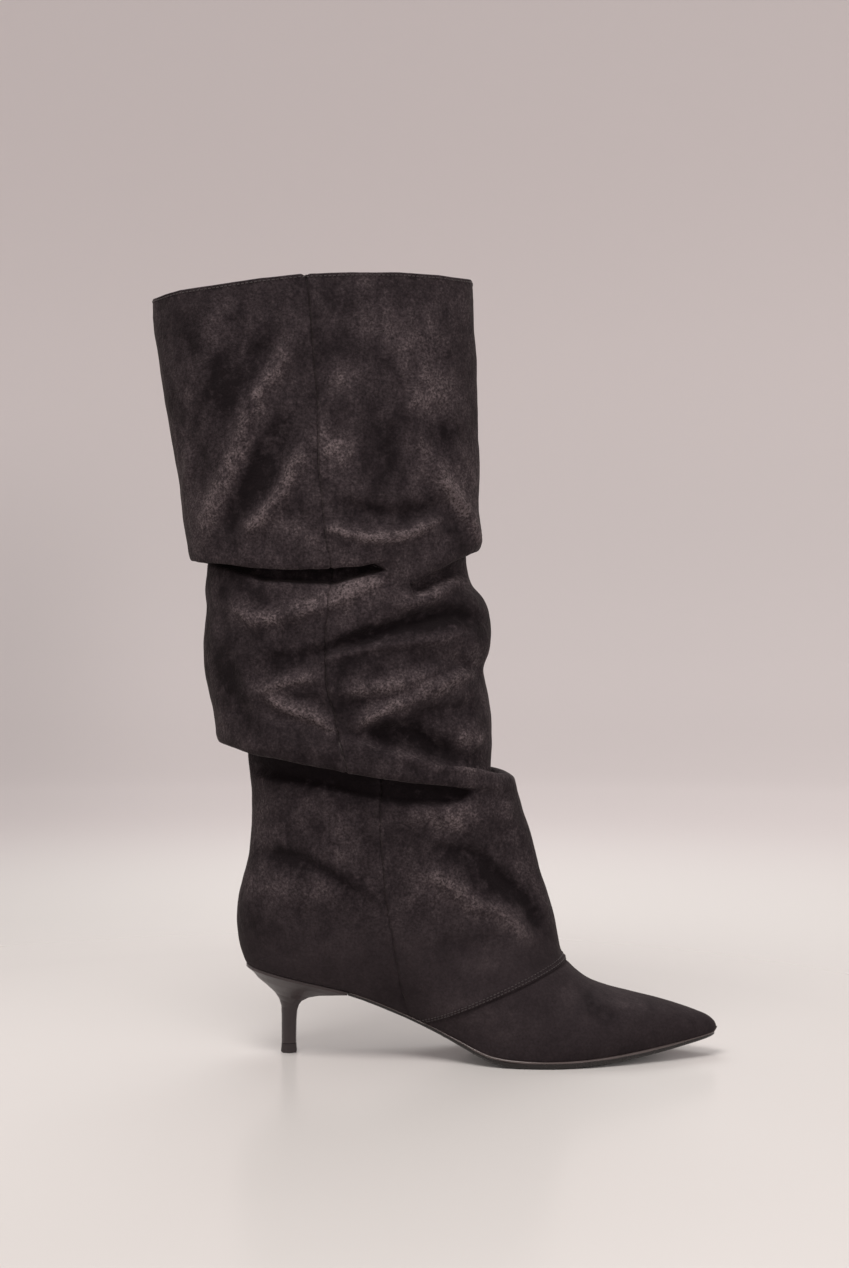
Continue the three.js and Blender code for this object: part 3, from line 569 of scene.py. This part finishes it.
# How far the nap is brushed over in patches, with painted highlights along the ridges and painted
# shade in the troughs and under the lips added, where the crinkle breaks them.
brushed_and_painted_light = figure(suede, "MULTIPLY_ADD", blotches, 0.7, figure(suede, "MULTIPLY", patches, 0.6))
brushed_and_painted_light = add(suede, "ShaderNodeMix", {"Factor": handled, 2: 0.65, 3: brushed_and_painted_light}).outputs[0]
broken = ramp(suede, crinkle, 0.36, 0.64, 0.4, 1.6, "LINEAR")
brushed_and_painted_light = figure(suede, "MULTIPLY_ADD", painted_light_and_nap, broken, brushed_and_painted_light)
grain_and_painted_light = figure(suede, "MULTIPLY_ADD", mottle, 0.5, -0.25)
grain_and_painted_light = figure(suede, "MULTIPLY_ADD", grain_and_painted_light, handled, brushed_and_painted_light)
pale_nap_and_painted_light = figure(suede, "POWER", ramp(suede, grain_and_painted_light, 0.31, 1.18, way="LINEAR"), 1.5)
colour_with_painted_light = blend(suede, ramp(suede, brushed_and_painted_light, 0.25, 0.85), linear(SUEDE_DEEP_AND_PAINTED_SHADE), linear(SUEDE_BODY))
colour_with_painted_light = blend(suede, pale_nap_and_painted_light, colour_with_painted_light, linear(SUEDE_BRUSHED_AND_PAINTED_HIGHLIGHT))

# The fibres' specks are strongest where the colour is palest, from brushed nap and painted
# highlights.
speck = ramp(suede, fibres, 0.3, 0.7, -0.7, 1.45, "LINEAR")
strong = figure(suede, "MULTIPLY", ramp(suede, pale_nap_and_painted_light, 0.0, 0.8, 0.15, 1.0, "LINEAR"), handled)
speck = figure(suede, "MULTIPLY_ADD", speck, strong, 1.0)
colour_with_painted_light = add(suede, "ShaderNodeVectorMath", {0: colour_with_painted_light, "Scale": speck}, operation="SCALE").outputs[0]
nap = figure(suede, "MULTIPLY_ADD", mottle, 1.4, fibres)
nap = figure(suede, "MULTIPLY_ADD", blotches, 1.5, nap)
nap = figure(suede, "MULTIPLY_ADD", crinkle, 4.5, nap)
raised_nap = add(suede, "ShaderNodeBump", {"Strength": figure(suede, "MULTIPLY", handled, 0.65),
                                           "Distance": 0.0004, "Height": nap}).outputs["Normal"]
surface(suede, {"Base Color": colour_with_painted_light, "Roughness": 0.86, "IOR": 1.45, "Specular IOR Level": 0.12,
                "Sheen Weight": 0.08, "Sheen Roughness": 0.4, "Sheen Tint": linear("b7aaa4"),
                "Normal": raised_nap})

# Strokes of paler or deeper colour over the patches: brushed nap and painted highlights along the
# ridges, painted shade in the troughs, under the lips and over the darker stretches of the leg,
# placed one by one like the creases.
NAP_AND_PAINTED_LIGHT = [  # how far paler (+) or deeper (-), half-width, points
    (0.3, 6, [(5, 401), (-4, 382), (-15, 364), (-22, 342), (-29, 324), (-41, 303), (-47, 285)]),
    (0.34, 8, [(23, 338), (31, 326)]),
    (0.3, 6, [(7, 332), (-3, 311), (-14, 299), (-26, 288)]),
    (0.28, 15, [(68, 366), (87, 359)]),
    (0.16, 12, [(57, 340), (73, 324), (88, 311)]),
    (0.2, 4, [(22, 291), (35, 286), (53, 284), (76, 289), (86, 296)]),
    (0.22, 3, [(88, 315), (97, 298), (104, 284)]),
    (0.14, 8, [(-42, 410), (-46, 389), (-49, 368)]),
    (0.22, 7, [(35, 377), (27, 366)]),
    (0.18, 9, [(46, 405), (57, 391)]),
    (0.2, 7, [(-15, 295), (6, 288), (16, 281)]),
    (-0.13, 26, [(-48, 405), (-40, 350), (-40, 310)]),
    (-0.08, 14, [(8, 405), (6, 375)]),
    (-0.1, 30, [(-20, 215), (30, 212), (80, 225)]),
    (-0.07, 12, [(40, 400), (55, 345)]),
    (-0.16, 10, [(4, 355), (-11, 332), (-24, 310), (-29, 295)]),
    (0.5, 1.6, [(86, 316), (93, 304), (100, 292), (105, 281)]),
    (0.3, 2.0, [(20, 290), (34, 286), (51, 284), (67, 287), (84, 295)]),
    (0.2, 14, [(84, 322), (96, 306)]),
    (-0.26, 9, [(-55, 400), (-41, 379), (-35, 353)]),
    (-0.24, 8, [(55, 331), (61, 329)]),
    (-0.2, 6, [(84, 345), (94, 344)]),
    (-0.2, 7, [(84, 388), (86, 372)]),
    (-0.18, 8, [(31, 420), (34, 411)]),
    (-0.16, 10, [(23, 361), (31, 347)]),
    (-0.22, 9, [(-32, 269), (-15, 252), (6, 251)]),
    (0.3, 6, [(-28, 247), (-17, 239), (2, 244), (20, 250), (35, 255), (52, 264)]),
    (0.26, 5, [(-13, 200), (-3, 205), (15, 207)]),
    (0.3, 5, [(-11, 197), (1, 189), (17, 182), (28, 174)]),
    (0.22, 5, [(18, 216), (29, 221), (43, 224)]),
    (0.2, 5, [(28, 198), (46, 201), (63, 204), (78, 208)]),
    (0.26, 5, [(37, 181), (53, 190), (75, 197), (96, 206), (105, 210)]),
    (0.18, 8, [(87, 221), (101, 215)]),
    (0.24, 8, [(95, 177), (104, 168)]),
    (0.22, 5, [(37, 171), (57, 170), (73, 162), (89, 158), (112, 155)]),
    (0.18, 7, [(68, 255), (88, 258), (98, 262)]),
    (-0.26, 7, [(23, 227), (43, 231), (62, 236), (84, 240), (106, 238)]),
    (-0.18, 9, [(-37, 228), (-29, 200), (-22, 178)]),
    (-0.3, 8, [(46, 175), (62, 178), (76, 172), (88, 164)]),
    (0.26, 8, [(62, 131), (82, 127), (103, 126)]),
    (0.22, 9, [(-15, 92), (5, 89), (28, 94)]),
    (0.24, 8, [(73, 99), (92, 88), (106, 76), (128, 67), (139, 59)]),
    (0.16, 10, [(96, 51), (117, 47)]),
    (-0.3, 7, [(-10, 157), (15, 153), (30, 148), (50, 143), (70, 141), (88, 142)]),
    (-0.28, 8, [(84, 110), (101, 107), (117, 94), (131, 84), (139, 67)]),
    (-0.22, 7, [(-15, 112), (6, 107), (27, 98), (46, 82)]),
    (-0.16, 10, [(-24, 84), (-15, 70)]),
    (-0.16, 9, [(6, 127), (28, 116)]),
    (0.14, 9, [(151, 36), (162, 28)]),
    (0.12, 12, [(95, 22), (128, 11)]),
    (-0.2, 5, [(161, 41), (166, 31), (171, 25), (181, 20)]),
    (0.14, 5, [(185, 26), (191, 23)]),
    (0.1, 8, [(175, 33), (200, 24)]),
]
NAP_AND_PAINTED_LIGHT_ZONES = [([stroke for stroke in NAP_AND_PAINTED_LIGHT if low <= stroke[2][0][1] < high], first, last, 1.0, -1)
             for low, high, first, last in ((283, 999, 57.0, 80.0), (160, 283, 34.5, 56.0),
                                            (-99, 160, -5.0, 31.5))]

# The leg
# A front and a back panel of the suede, sewn face to face up both sides with the seam pressed
# open, laid over the vamp below and turned in at the collar. It hangs in three stages: the cuff
# over the middle, and the middle over the ankle. Sizes are in millimetres but for the thickness.
SUEDE_THICKNESS = 0.0009
ROW_STEP = 1.6
SEAM_DEPTH = 0.8
SEAM_HALF = 0.8
SEAM_SHOULDER = 0.22
TURN_RADIUS = 1.1
HEM_DEPTH = 10.0
HEM_STITCHES = 2.3
LAP_STITCHES = (1.3, 3.4)
STITCH_DENT = 0.22
BRIDGE = (53.3, 69.0)
BRIDGE_ROWS = (51.0, 60.4)
LINING_CLEAR = 3.0
SEAM_FOOT = [(60.6, 44.1), (62.2, 33.5), (64.4, 25.7), (67.2, 19.1)]
SEAM_FOOT_ROW = 16.2
SEAM_SHIFT_ROWS = [32, 33, 34, 35, 36, 37, 38, 39, 40]
SEAM_SHIFT = [0, -0.4, -0.9, -1.2, -1.0, -0.6, -0.26, -0.08, 0]
LIP_DROP = [(53, 0), (60, 8), (66, 15), (69, 14), (73, 11), (79, 7.8), (89, 4.8), (98, 2.2),
            (106, 0)]
COLLAR_LINE = [(-77.2, 416.3), (-75.6, 417.4), (-68.9, 420.2), (-60.6, 422.4), (-36.7, 426.0),
               (-16.1, 429.1), (7.8, 431.6), (33.9, 432.3), (61.7, 432.4), (83.9, 430.8),
               (102.2, 428.0)]


def sheet_of(name, grid, material, attributes, gap_after=None):
    """A sheet through a grid of points in millimetres, its faces outwards, its seams welded."""
    rows, columns = grid.shape[:2]
    index = np.arange(rows * columns).reshape(rows, columns)
    quads = np.stack([index[:-1, :-1], index[:-1, 1:], index[1:, 1:], index[1:, :-1]], axis=2)
    if gap_after is not None:
        quads = np.delete(quads, gap_after, axis=1)
    mesh = bpy.data.meshes.new(name)
    mesh.from_pydata((grid.reshape(-1, 3) / 1000).tolist(), [], quads.reshape(-1, 4).tolist())
    for label, values in attributes.items():
        mesh.attributes.new(label, "FLOAT", "POINT").data.foreach_set(
            "value", values.reshape(-1).astype(np.float32))
    return worked(name, mesh, material, lambda: bpy.ops.mesh.remove_doubles(threshold=0.00001))


def thicken(piece, by):
    """The sheet's thickness, added on its inner side."""
    wall = piece.modifiers.new("thickness", "SOLIDIFY")
    wall.thickness = by
    wall.offset = -1.0
    wall.use_even_offset = False


def along(table, value):
    """A value read off a table of pairs, straight between them."""
    return np.interp(value, [p[0] for p in table], [p[1] for p in table])


def run_of(line):
    """How far along a line of points each one lies."""
    return np.concatenate([[0], np.cumsum(np.linalg.norm(np.diff(line, axis=0), axis=1))])


def unit(vectors):
    """Vectors of the same direction, each of length one."""
    return vectors / np.linalg.norm(vectors, axis=-1, keepdims=True)


leg, leg_rows = lay_out(outer_skin, LAP_ROW, ROWS - 1, ROW_STEP)
leg_inside, _ = lay_out(inner_skin, LAP_ROW, ROWS - 1, ROW_STEP, outer_skin)

# The outer seam wanders a little in the middle's folds, and the points wander with it.
columns = np.array([i - 1 + u for i, shares in enumerate(across) for u in shares] + [POINTS])
for grid in (leg, leg_inside):
    for r, row in enumerate(leg_rows):
        slide = np.interp(row, SEAM_SHIFT_ROWS, SEAM_SHIFT)
        if slide:
            moved = columns + slide * ease(0, 1, 1 - np.abs(columns - OUTER_SEAM) / 5)
            grid[r] = np.stack([np.interp(moved, columns, grid[r, :, k]) for k in range(3)], axis=1)

# The front of the cuff's lip droops, and towards the front the suede runs straight from the
# cuff into the middle, which closes the gap between them. The lining keeps clear of it.
a, _ = on_the_plane(leg, -1)
drop = along(LIP_DROP, a) * (leg[..., 1] < 0)
drop = drop * (ease(55.6, 57.4, leg_rows) * (1 - ease(60.2, 65.0, leg_rows)))[:, None]
leg[..., 2] -= drop
leg_inside[..., 2] -= drop
low_row, high_row = (int(np.searchsorted(leg_rows, row)) for row in BRIDGE_ROWS)
toward, _ = on_the_plane(leg[high_row], -1)
outer_side = leg[high_row][:, 1] < 0
bridged = ease(BRIDGE[0] - 20, BRIDGE[0] + 7, toward)
bridged = bridged * (1 - ease(BRIDGE[1] - 3, BRIDGE[1] + 3, toward)) * outer_side
clear = ease(22, 40, toward) * (1 - ease(70, 84, toward)) * outer_side
for grid in (leg, leg_inside):
    for r in range(low_row, high_row + 1):
        share = (r - low_row) / (high_row - low_row)
        straight = grid[low_row] * (1 - share) + grid[high_row] * share
        straight[:, 1] += 0.5 * math.sin(math.pi * share)
        grid[r] += (straight - grid[r]) * bridged[:, None]
        if grid is leg_inside:
            grid[r][:, 1] += LINING_CLEAR * math.sin(math.pi * share) * clear

leg_out = normals_of(leg)
lift = relief(leg, leg_out, leg_rows, ZONES)
lift += hollow(leg, leg_out, leg_rows)
lift += ripple(leg, 26.0, 0.9, 3.0) + ripple(leg, 11.0, 0.35, 9.0)
lift += ripple(leg, 5.0, 0.16, 21.0) * ease(CALM_BELOW, CRUMPLED_ABOVE, leg[..., 2])
# Brushed nap with painted highlights and painted shade, from the strokes.
nap_and_light_strokes = relief(leg, leg_out, leg_rows, NAP_AND_PAINTED_LIGHT_ZONES)

# How far each point lies from a side seam. The outer seam's foot swings forward to the sole.
seam = len(across[0]) + column_of(OUTER_SEAM)
inner_seam = len(across[0]) + column_of(INNER_SEAM)
from_seam = np.minimum(np.abs(arc_from(leg, seam)), np.abs(arc_from(leg, inner_seam)))
from_seam = from_seam + 30 * (1 - ease(SEAM_FOOT_ROW - 1, SEAM_FOOT_ROW, leg_rows))[:, None]
line = refine(np.array([[(p[0], p[1], 0.0)] for p in SEAM_FOOT]), [even(12)] * 3)[:, 0]
for side in (-1, 1):
    a, h = on_the_plane(leg, side)
    near = (leg_rows[:, None] < SEAM_FOOT_ROW) & (leg_out[..., 1] * side > 0.1)
    gap = np.hypot(a[near][:, None] - line[:, 0], h[near][:, None] - line[:, 1]).min(1)
    from_seam[near] = np.minimum(from_seam[near], gap)

# How far each point lies from the feather, where the upper meets the sole. All relief fades there.
feather = outer_skin[LAP_ROW:FIRST_CLOSED_ROW + 1]
feather = np.concatenate([feather[:, 0], feather[:, -1]])
feather = np.concatenate([feather[:-1] * (1 - u) + feather[1:] * u for u in even(6)])
feather = feather[(np.abs(feather[:, 1]) > 0) | (feather[:, 0] < -20)]
foot_rows = np.searchsorted(leg_rows, 27.0)
nearest = [np.sqrt(((feather - p) ** 2).sum(1).min()) for p in leg[:foot_rows].reshape(-1, 3)]
from_feather = np.full(leg.shape[:2], 99.0)
from_feather[:foot_rows] = np.array(nearest).reshape(-1, leg.shape[1])
lift = lift * ease(0.5, 9.0, from_feather)
tuck = 0.15 * dent(from_feather, 1.1)

# The collar's edge follows a line of its own.
a, h = on_the_plane(leg[-1], -1)
raised = np.clip((along(COLLAR_LINE, a) - h) * 0.957, -3, 3)
raised = raised * ease(0.0, 0.25, -leg_out[-1, :, 1])

# What the seams, the hem and the stitches press into the suede.
along_leg = run_of(leg[:, seam])
pucker = 0.12 * np.sin(along_leg / 9.0 * math.tau + 2.2 * np.sin(along_leg / 41.0))[:, None]
groove = SEAM_DEPTH * dent(from_seam, SEAM_HALF)
shoulder = (SEAM_SHOULDER + pucker) * dent(from_seam - 2.4, 1.5)
from_top = along_leg[-1] - along_leg
hemmed = 0.3 * dent(from_top[:, None] - HEM_STITCHES, 0.7)
hemmed = hemmed - 0.12 * dent(from_top[:, None] - 10.5, 1.2)
lap_run = np.cumsum(np.linalg.norm(np.diff(leg, axis=0), axis=2), axis=0)
lap_run = np.concatenate([np.zeros((1, leg.shape[1])), lap_run])
stitched = sum(STITCH_DENT * dent(lap_run - row, 0.5) for row in LAP_STITCHES)
rolled = 0.35 * dent(lap_run, 0.5)
leg_face = leg + leg_out * (lift - groove + shoulder - hemmed - stitched - rolled - tuck)[..., None]
leg_face[..., 2] += raised[None, :] * ease(61.0, 72.0, leg_rows)[:, None]

# The collar is turned in and runs down inside as far as the hem, with a notch at the seam.
top_out = normals_of(leg_face)[-1]
top_up = unit(tangent_of(leg_face, 0)[-1])
keep = np.argmax(along_leg > along_leg[-1] - TURN_RADIUS - 0.3)
middle = leg_face[-1] - top_up * TURN_RADIUS - top_out * TURN_RADIUS
turned = [middle + TURN_RADIUS * (top_out * math.cos(t) + top_up * math.sin(t))
          for t in np.linspace(0, math.pi, 9)]
turned += [middle - top_out * TURN_RADIUS - top_up * down for down in (2.5, 5, 7.5, HEM_DEPTH)]
notch = dent(np.abs(arc_from(leg[-1:], seam))[0], 1.4)
leg_face = np.concatenate([leg_face[:keep], np.array(turned)])
leg_face[keep:, :, 2] -= 0.9 * notch[None, :]

# Painted highlight and painted shade: the colour is painted paler on the crowns of the ridges and
# along the strokes, deeper in the troughs, and painted dark under the lips of the cuff and the
# middle, where shade falls.
extra = len(turned)
nap_and_painted_light = np.clip(lift * 0.06, -0.12, 0.2) + nap_and_light_strokes * 0.9
nap_and_painted_light = np.concatenate([nap_and_painted_light[:keep], np.repeat(nap_and_painted_light[-1:], extra, axis=0)])
fine_rows = np.concatenate([leg_rows[:keep], np.full(extra, ROWS - 1.0)])
painted_shade = ease(54.0, 54.8, fine_rows) * (1 - ease(56.8, 57.6, fine_rows))
below = ease(30.6, 31.6, fine_rows) * (1 - ease(34.0, 35.0, fine_rows))
forward, _ = on_the_plane(leg_face, -1)
painted_shade = painted_shade[:, None] * (1 - bridged) + below[:, None] * (1 - ease(88, 106, forward))
leg_nap_and_painted_light = nap_and_painted_light - 0.4 * painted_shade
worn = CALM + (1 - CALM) * ease(CALM_BELOW, CRUMPLED_ABOVE, leg_face[..., 2])

face, cut_nap_and_painted_light, wear, out = (trim(grid) for grid in (leg_face, leg_nap_and_painted_light, worn, normals_of(leg_face)))
outer, inner = column_of(OUTER_SEAM), column_of(INNER_SEAM)


def panel_of(name, cut, gap_after=None):
    """One panel of the leg, cut out of its grids."""
    made = sheet_of(name, cut(face), suede, {"painted_light_and_nap": cut(cut_nap_and_painted_light), "handled": cut(wear)}, gap_after)
    thicken(made, SUEDE_THICKNESS)
    return made


leg_front = panel_of("leg_front", lambda grid: grid[:, outer:inner + 1])
leg_back = panel_of("leg_back",
                    lambda grid: np.concatenate([grid[:, inner:], grid[:, :outer + 1]], axis=1),
                    face.shape[1] - 1 - inner)
for panel in (leg_front, leg_back):
    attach(panel, "root")
    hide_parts("upper")

# The vamp
# One piece of the same suede pulled over the toes and lasted under the insole. Its back edge
# runs on a little way under the leg, where the two rows of stitches hold it.
UNDERLAP = (1.35, 1.5)

vamp_skin = outer_skin.copy()
under = normals_of(outer_skin[LAP_ROW:LAP_ROW + 3])
vamp_skin[LAP_ROW] = outer_skin[LAP_ROW] - under[0] * UNDERLAP[0]
hidden = outer_skin[LAP_ROW + 1] - under[1] * UNDERLAP[1]
vamp_skin[LAP_ROW + 1] = hidden * 0.7 + vamp_skin[LAP_ROW] * 0.3
vamp, vamp_rows = lay_out(vamp_skin, 0, LAP_ROW + 1, ROW_STEP)
vamp_out = normals_of(vamp)
vamp_lift = relief(vamp, vamp_out, vamp_rows, ZONES) + ripple(vamp, 30.0, 0.35, 3.0)
vamp_lift = vamp_lift * (ease(0.0, 3.0, vamp_rows) * (1 - ease(10.4, 11.2, vamp_rows)))[:, None]
# The same brushed nap, painted highlights and painted shade on the vamp.
vamp_nap_and_painted_light = relief(vamp, vamp_out, vamp_rows, NAP_AND_PAINTED_LIGHT_ZONES) * 0.9
first, last = len(across[0]), vamp.shape[1] - len(across[-1]) - 1
from_edge = np.minimum(np.abs(arc_from(vamp, first)), np.abs(arc_from(vamp, last)))
vamp_lift = vamp_lift * ease(0.5, 8.0, from_edge)
vamp_lift = vamp_lift - 0.12 * dent(from_edge, 1.0) * ease(1.0, 3.0, vamp_rows)[:, None]
vamp = trim(vamp + vamp_out * vamp_lift[..., None])
vamp_piece = sheet_of("vamp", vamp, suede,
                      {"painted_light_and_nap": trim(vamp_nap_and_painted_light), "handled": np.full(vamp.shape[:2], CALM)})
thicken(vamp_piece, SUEDE_THICKNESS)
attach(vamp_piece, "root")
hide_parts("upper")

# The stitches
# Waxed polyester thread, a shade darker than the suede: one row round the turned collar and two
# along the back edge of the vamp, ten to twelve stitches to the inch.
THREAD = 0.00028
COLLAR_PITCH = (2.4, 0.8)
VAMP_PITCH = (2.1, 0.85)
STITCH_SHARES = (0.0, 0.12, 0.5, 0.88, 1.0)
STITCH_RISE = (-0.9, 0.15, 0.55, 0.15, -0.9)
STITCH_GIRTH = (0.6, 1.0, 1.0, 1.0, 0.6)
STITCH_SIDES = 6


def mottled(name, size, dark, pale, detail=2.0, grain=0.0, rough=0.5, **more):
    """A material of two close colours in small spots, with its grain, and its one or two glosses."""
    made = empty_material(name)
    where = add(made, "ShaderNodeTexCoord").outputs["Object"]
    pattern = spots(made, where, size, detail)
    if isinstance(rough, tuple):
        rough = ramp(made, pattern, 0.0, 1.0, *rough, "LINEAR")
    sockets = {"Base Color": blend(made, pattern, linear(dark), linear(pale)), "Roughness": rough}
    if grain:
        sockets["Normal"] = add(made, "ShaderNodeBump", {"Strength": grain, "Distance": 0.0002,
                                                         "Height": pattern}).outputs["Normal"]
    surface(made, sockets | more)
    return made


waxed = mottled("waxed_thread", 0.0006, "272122", "3f3737")


def line_at(grid, out, distance):
    """The line of points at one distance along the columns from the grid's first row."""
    step = np.linalg.norm(np.diff(grid, axis=0), axis=2)
    run = np.concatenate([np.zeros((1, grid.shape[1])), np.cumsum(step, axis=0)])
    at = np.argmax(run > distance, axis=0)
    pick = np.arange(grid.shape[1])
    share = ((distance - run[at - 1, pick]) / (run[at, pick] - run[at - 1, pick]))[:, None]
    return (grid[at - 1, pick] * (1 - share) + grid[at, pick] * share), out[at, pick]


def sew(name, path, out, pitch, gap):
    """A row of stitches along a path: each rises out of the suede and dives back into it."""
    run = run_of(path)
    verts, faces = [], []
    for n in range(int(run[-1] // pitch)):
        spine, ups = [], []
        for share, rise in zip(STITCH_SHARES, STITCH_RISE):
            at = n * pitch + gap / 2 + share * (pitch - gap)
            point = np.array([np.interp(at, run, path[:, k]) for k in range(3)]) / 1000
            up = unit(np.array([np.interp(at, run, out[:, k]) for k in range(3)]))
            spine.append(point + up * THREAD * rise)
            ups.append(up)
        start = len(verts)
        for k, (point, up) in enumerate(zip(spine, ups)):
            ahead = unit(spine[min(k + 1, 4)] - spine[max(k - 1, 0)])
            side = unit(np.cross(ahead, up))
            upright = np.cross(side, ahead)
            for c in range(STITCH_SIDES):
                turn = c / STITCH_SIDES * math.tau
                spoke = side * math.cos(turn) + upright * math.sin(turn)
                verts.append((point + spoke * (THREAD * STITCH_GIRTH[k])).tolist())
        rings = [[start + k * STITCH_SIDES + c for c in range(STITCH_SIDES)] for k in range(5)]
        for ring, after in zip(rings, rings[1:]):
            for c in range(STITCH_SIDES):
                d = (c + 1) % STITCH_SIDES
                faces.append((ring[c], ring[d], after[d], after[c]))
        faces.append(tuple(rings[0][::-1]))
        faces.append(tuple(rings[-1]))
    mesh = bpy.data.meshes.new(name)
    mesh.from_pydata(verts, [], faces)
    row = worked(name, mesh, waxed, lambda: bpy.ops.mesh.normals_make_consistent(inside=False))
    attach(row, "root")


collar = slice(keep + 4, None, -1)
collar_line = line_at(face[collar], out[collar], HEM_STITCHES)
sew("collar_stitches", *collar_line, *COLLAR_PITCH)
for name, above in zip(("vamp_stitches_lower", "vamp_stitches_upper"), LAP_STITCHES):
    lap_line = line_at(face, out, above)
    sew(name, lap_line[0][2:-2], lap_line[1][2:-2], *VAMP_PITCH)

# The lining
# A thin smooth textile bonded to a backer, sewn inside the leg below the turned collar and
# running down to the toe. It is seen only from above.
LINING_THICKNESS = 0.0004
LINING_TOP = 8.0

lining_cloth = mottled("lining_textile", 0.0011, "262121", "3a3331", grain=0.4, rough=0.7,
                       **{"Sheen Weight": 0.15, "Sheen Roughness": 0.5})

leg_inside = leg_inside + leg_out * (np.minimum(lift, 0) - 0.4 * ease(0.3, 1.5, -lift))[..., None]
leg_inside = leg_inside[:np.argmax(from_top < LINING_TOP)]
toe_inside, _ = lay_out(inner_skin, 0, LAP_ROW, 4.0, outer_skin)
lined = np.concatenate([trim(toe_inside)[:-1:2], trim(leg_inside)[::2]])[:, ::2]
lining = sheet_of("lining", lined[:, ::-1], lining_cloth, {})
thicken(lining, LINING_THICKNESS)
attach(lining, "root")
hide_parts("upper")

# The soles
# The outsole is a thin sheet of dark leather with a polished edge. The insole is a padded board
# under a smooth lining leather. The outsole's upper edge is rounded over as a thin glossy bead that
# runs round the forefoot between the suede and the edge; its pale colour is a painted highlight, the
# bright line of the edge's shine.
BEAD = 0.8
BEAD_AT_HEEL = 0.3
BEAD_OUT = 0.35
BEAD_SIDES = 10

sole_gloss = mottled("polished_sole_leather", 0.004, "130f0f", "201a19", 4.0, rough=(0.16, 0.36))
# Painted highlight: the bead's pale colours stand for the light caught on the polished edge.
painted_highlight_edge = mottled("edge_painted_highlight", 0.006, "4f4644", "625856", 3.0, rough=0.2)
insole_pad = mottled("insole_leather", 0.0016, "7c6754", "8a735e", grain=0.4, rough=0.55)

rim = outer_skin[:FIRST_CLOSED_ROW + 1]
rim = np.concatenate([rim[::-1, -1], rim[:, 0]])
rim = rim[rim[:, 0] > 30]
apart = np.linalg.norm(np.diff(rim, axis=0), axis=1)
rim = rim[np.concatenate([[True], apart > 0.2])]
rim = refine(rim[:, None], [even(4)] * (len(rim) - 1))[:, 0]
ahead = tangent_of(rim[None], 1)[0]
outward = unit(np.stack([-ahead[:, 1], ahead[:, 0], 0 * ahead[:, 0]], axis=1))
slim = 1 - 0.6 * ease(200, 230, rim[:, 0])
size = (BEAD_AT_HEEL + (BEAD - BEAD_AT_HEEL) * ease(75, 120, rim[:, 0])) * slim
size[0] = size[-1] = 0
centre = rim + outward * BEAD_OUT * slim[:, None]
upward = np.array([0, 0, 1])
bead = np.array([centre + size[:, None] * (outward * math.cos(t) + upward * math.sin(t))
                 for t in np.linspace(0, math.tau, BEAD_SIDES + 1)]).transpose(1, 0, 2)
painted_highlight_bead = sheet_of("painted_highlight_bead", bead, painted_highlight_edge, {})
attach(painted_highlight_bead, "root")

# The heel
# A moulded kitten heel under a cover of thin satin leather, with a hard rubber top piece below.
heel_satin = mottled("satin_heel_leather", 0.012, "2a2223", "3b3031", 4.0, rough=(0.3, 0.46))
top_piece = mottled("top_piece_rubber", 0.0015, "292122", "352c2d", 3.0, rough=0.6)

for name, finish in (("outsole", sole_gloss), ("insole", insole_pad),
                     ("heel", heel_satin), ("heel_tip", top_piece)):
    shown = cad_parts[name]
    for slot in shown.material_slots:
        slot.link = "OBJECT"
        slot.material = finish
    if not shown.material_slots:
        shown.data.materials.append(finish)
